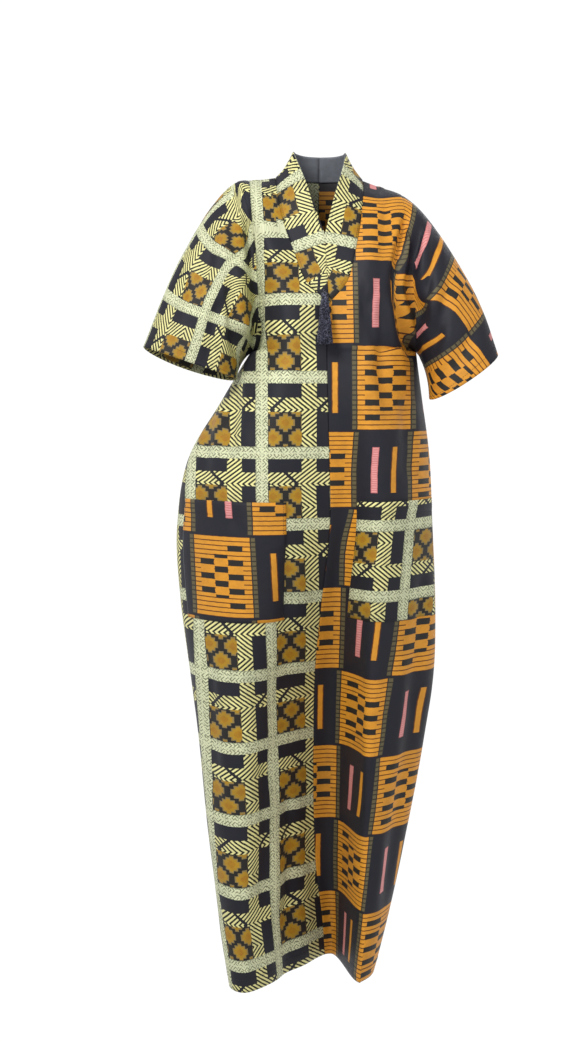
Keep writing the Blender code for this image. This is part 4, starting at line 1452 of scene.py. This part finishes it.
# How far the skirt reaches from its axis at the top, how much further at its ends, and how far
# short of them, as a share of the length, its most ragged strands stop.
SKIRT_REACH = 5.8
SKIRT_FLARE = 8.4
SKIRT_RAGGED = 0.06
HEAD_SIDES = 28
BINDING_TURNS = 5
BINDING_REACH = 5.4
# Down the head, how far along it and how far from its axis its outline lies.
HEAD_PROFILE = ((0.0, 2.6), (0.10, 5.2), (0.26, 6.7), (0.42, 6.4), (0.50, 5.0), (0.56, 4.7),
                (0.62, 5.1), (0.80, 6.1), (1.0, 6.3))
HEAD_SHARE = TASSEL_HEAD / TASSEL_LENGTH
GOLDEN_ANGLE = 2.39996


def tassel_axis(share):
    """The point at a share of the way down the tassel's leaning axis."""
    return TASSEL_TOP + np.array([0, TASSEL_LEAN * share, -TASSEL_LENGTH * share])


def tassel_lines():
    """The skirt's strands, from inside the head to their ragged ends."""
    top = HEAD_SHARE * 0.5
    strands = []
    for n in range(STRAND_COUNT):
        radius = math.sqrt((n + 0.5) / STRAND_COUNT)
        angle = n * GOLDEN_ANGLE
        ends = 1 - SKIRT_RAGGED * ((n * 37) % 11) / 10
        line = []
        for step in range(STRAND_STEPS + 1):
            share = step / STRAND_STEPS
            spread = SKIRT_REACH + SKIRT_FLARE * share ** 0.8
            twist = angle + 0.3 * share * math.sin(n * 1.7)
            stray = 0.9 * share * math.sin(4 * share + n * 2.3)
            centre = tassel_axis(top + (ends - top) * share)
            line.append(centre + np.array([math.cos(twist) * radius * spread + stray,
                                           math.sin(twist) * radius * spread, 0]))
        strands.append(line)
    return strands


def tassel_head():
    """The head of wound thread, turned round the tassel's axis."""
    bm = bmesh.new()
    around = HEAD_SIDES
    rings = []
    for rise, radius in HEAD_PROFILE:
        centre = tassel_axis(HEAD_SHARE * rise)
        ring = []
        for n in range(around):
            angle = 2 * math.pi * n / around
            ridge = 1 + 0.05 * (n % 2)
            ring.append(bm.verts.new((centre + np.array([math.cos(angle), math.sin(angle), 0])
                                      * radius * ridge) * MM))
        rings.append(ring)
    for low, high in zip(rings, rings[1:]):
        for n in range(around):
            m = (n + 1) % around
            bm.faces.new([low[n], high[n], high[m], low[m]])
    bm.faces.new(rings[0])
    bm.faces.new(rings[-1][::-1])
    bmesh.ops.recalc_face_normals(bm, faces=bm.faces[:])
    mesh = bpy.data.meshes.new("tassel_head")
    bm.to_mesh(mesh)
    bm.free()
    mesh.shade_smooth()
    mesh.materials.append(tassel_thread)
    return placed("tassel_head", mesh)


def binding_lines():
    """Turns of thread round the tassel's neck, and the loop that holds it to the collar."""
    turns = []
    per_turn = 24
    steps = BINDING_TURNS * per_turn
    for step in range(steps + 1):
        angle = 2 * math.pi * step / per_turn
        centre = tassel_axis(HEAD_SHARE * (0.46 + 0.16 * step / steps))
        turns.append(centre + np.array([math.cos(angle), math.sin(angle), 0]) * BINDING_REACH)
    loop = ((-1.4, 0, -1.5), (-1.8, 2.2, 2.0), (-1.2, 5.5, 4.2), (0, 7.5, 4.0),
            (1.2, 5.5, 4.2), (1.8, 2.2, 2.0), (1.4, 0, -1.5))
    return [turns, smooth_line(TASSEL_TOP + np.array(loop), 6)]


skirt = from_lines("tassel_skirt", tassel_lines(), STRANDS, Radius=0.00042, Thread=tassel_thread)
bound = from_lines("tassel_binding", binding_lines(), STRANDS, Radius=0.0007, Sides=6,
                   Thread=tassel_thread)
head = tassel_head()
for obj in (skirt, bound, head):
    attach(obj, "root")
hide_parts("tassel")

# Studio: a white backdrop, soft lights, and the camera at the photograph's angle
BACKDROP_PLACE = (0, 8, -1.5)
BACKDROP_SIZE = 18
BACKDROP_GLOW = 1.05
ROOM_LIGHT = 0.58
# Each lamp's name, place, aim, width in metres and power in watts.
LAMPS = (
    ("key", (-1.5, -2.3, 1.5), (0, 0, -0.4), 1.3, 66),
    ("fill", (2.2, -2.8, 0.4), (0, 0, -0.7), 2.4, 20),
    ("back", (0.6, 3.0, 1.4), (0, 0, -0.7), 2.4, 30),
)
CAMERA_PLACE = (-0.0641, -3.3, -0.4054)
CAMERA_PITCH = 3.88
FOCAL_PIXELS = 1784
FRAME_HEIGHT = 1042
SENSOR = 36


def backdrop():
    """A bright white sheet behind the garment."""
    finish = Finish("white_backdrop")
    finish.give(Base_Color=(0, 0, 0, 1), Specular_IOR_Level=0, Emission_Color=(1, 1, 1, 1),
                Emission_Strength=BACKDROP_GLOW)
    x, y, z = BACKDROP_PLACE
    half = BACKDROP_SIZE / 2
    corners = [(x - half, y, z - half), (x + half, y, z - half), (x + half, y, z + half),
               (x - half, y, z + half)]
    mesh = bpy.data.meshes.new("backdrop")
    mesh.from_pydata(corners, [], [(0, 1, 2, 3)])
    mesh.materials.append(finish.material)
    placed("backdrop", mesh)


def studio():
    """The light, the backdrop and the camera."""
    backdrop()
    world = bpy.data.worlds.new("studio")
    bpy.context.scene.world = world
    world.use_nodes = True
    room = world.node_tree.nodes["Background"]
    room.inputs["Color"].default_value = (1, 1, 1, 1)
    room.inputs["Strength"].default_value = ROOM_LIGHT
    for name, place, aim, size, power in LAMPS:
        light = bpy.data.lights.new(name, "AREA")
        light.shape = "DISK"
        light.size = size
        light.energy = power
        lamp = placed(name, light)
        lamp.location = place
        lamp.rotation_euler = (Vector(aim) - Vector(place)).to_track_quat("-Z", "Y").to_euler()
    bpy.context.scene.view_settings.view_transform = "Standard"
    camera = bpy.data.cameras.new("camera")
    camera.sensor_width = SENSOR
    camera.lens = SENSOR * FOCAL_PIXELS / FRAME_HEIGHT
    camera.clip_end = 100
    view = placed("camera", camera)
    view.location = CAMERA_PLACE
    view.rotation_euler = (math.radians(90 - CAMERA_PITCH), 0, 0)
    bpy.context.scene.camera = view


studio()
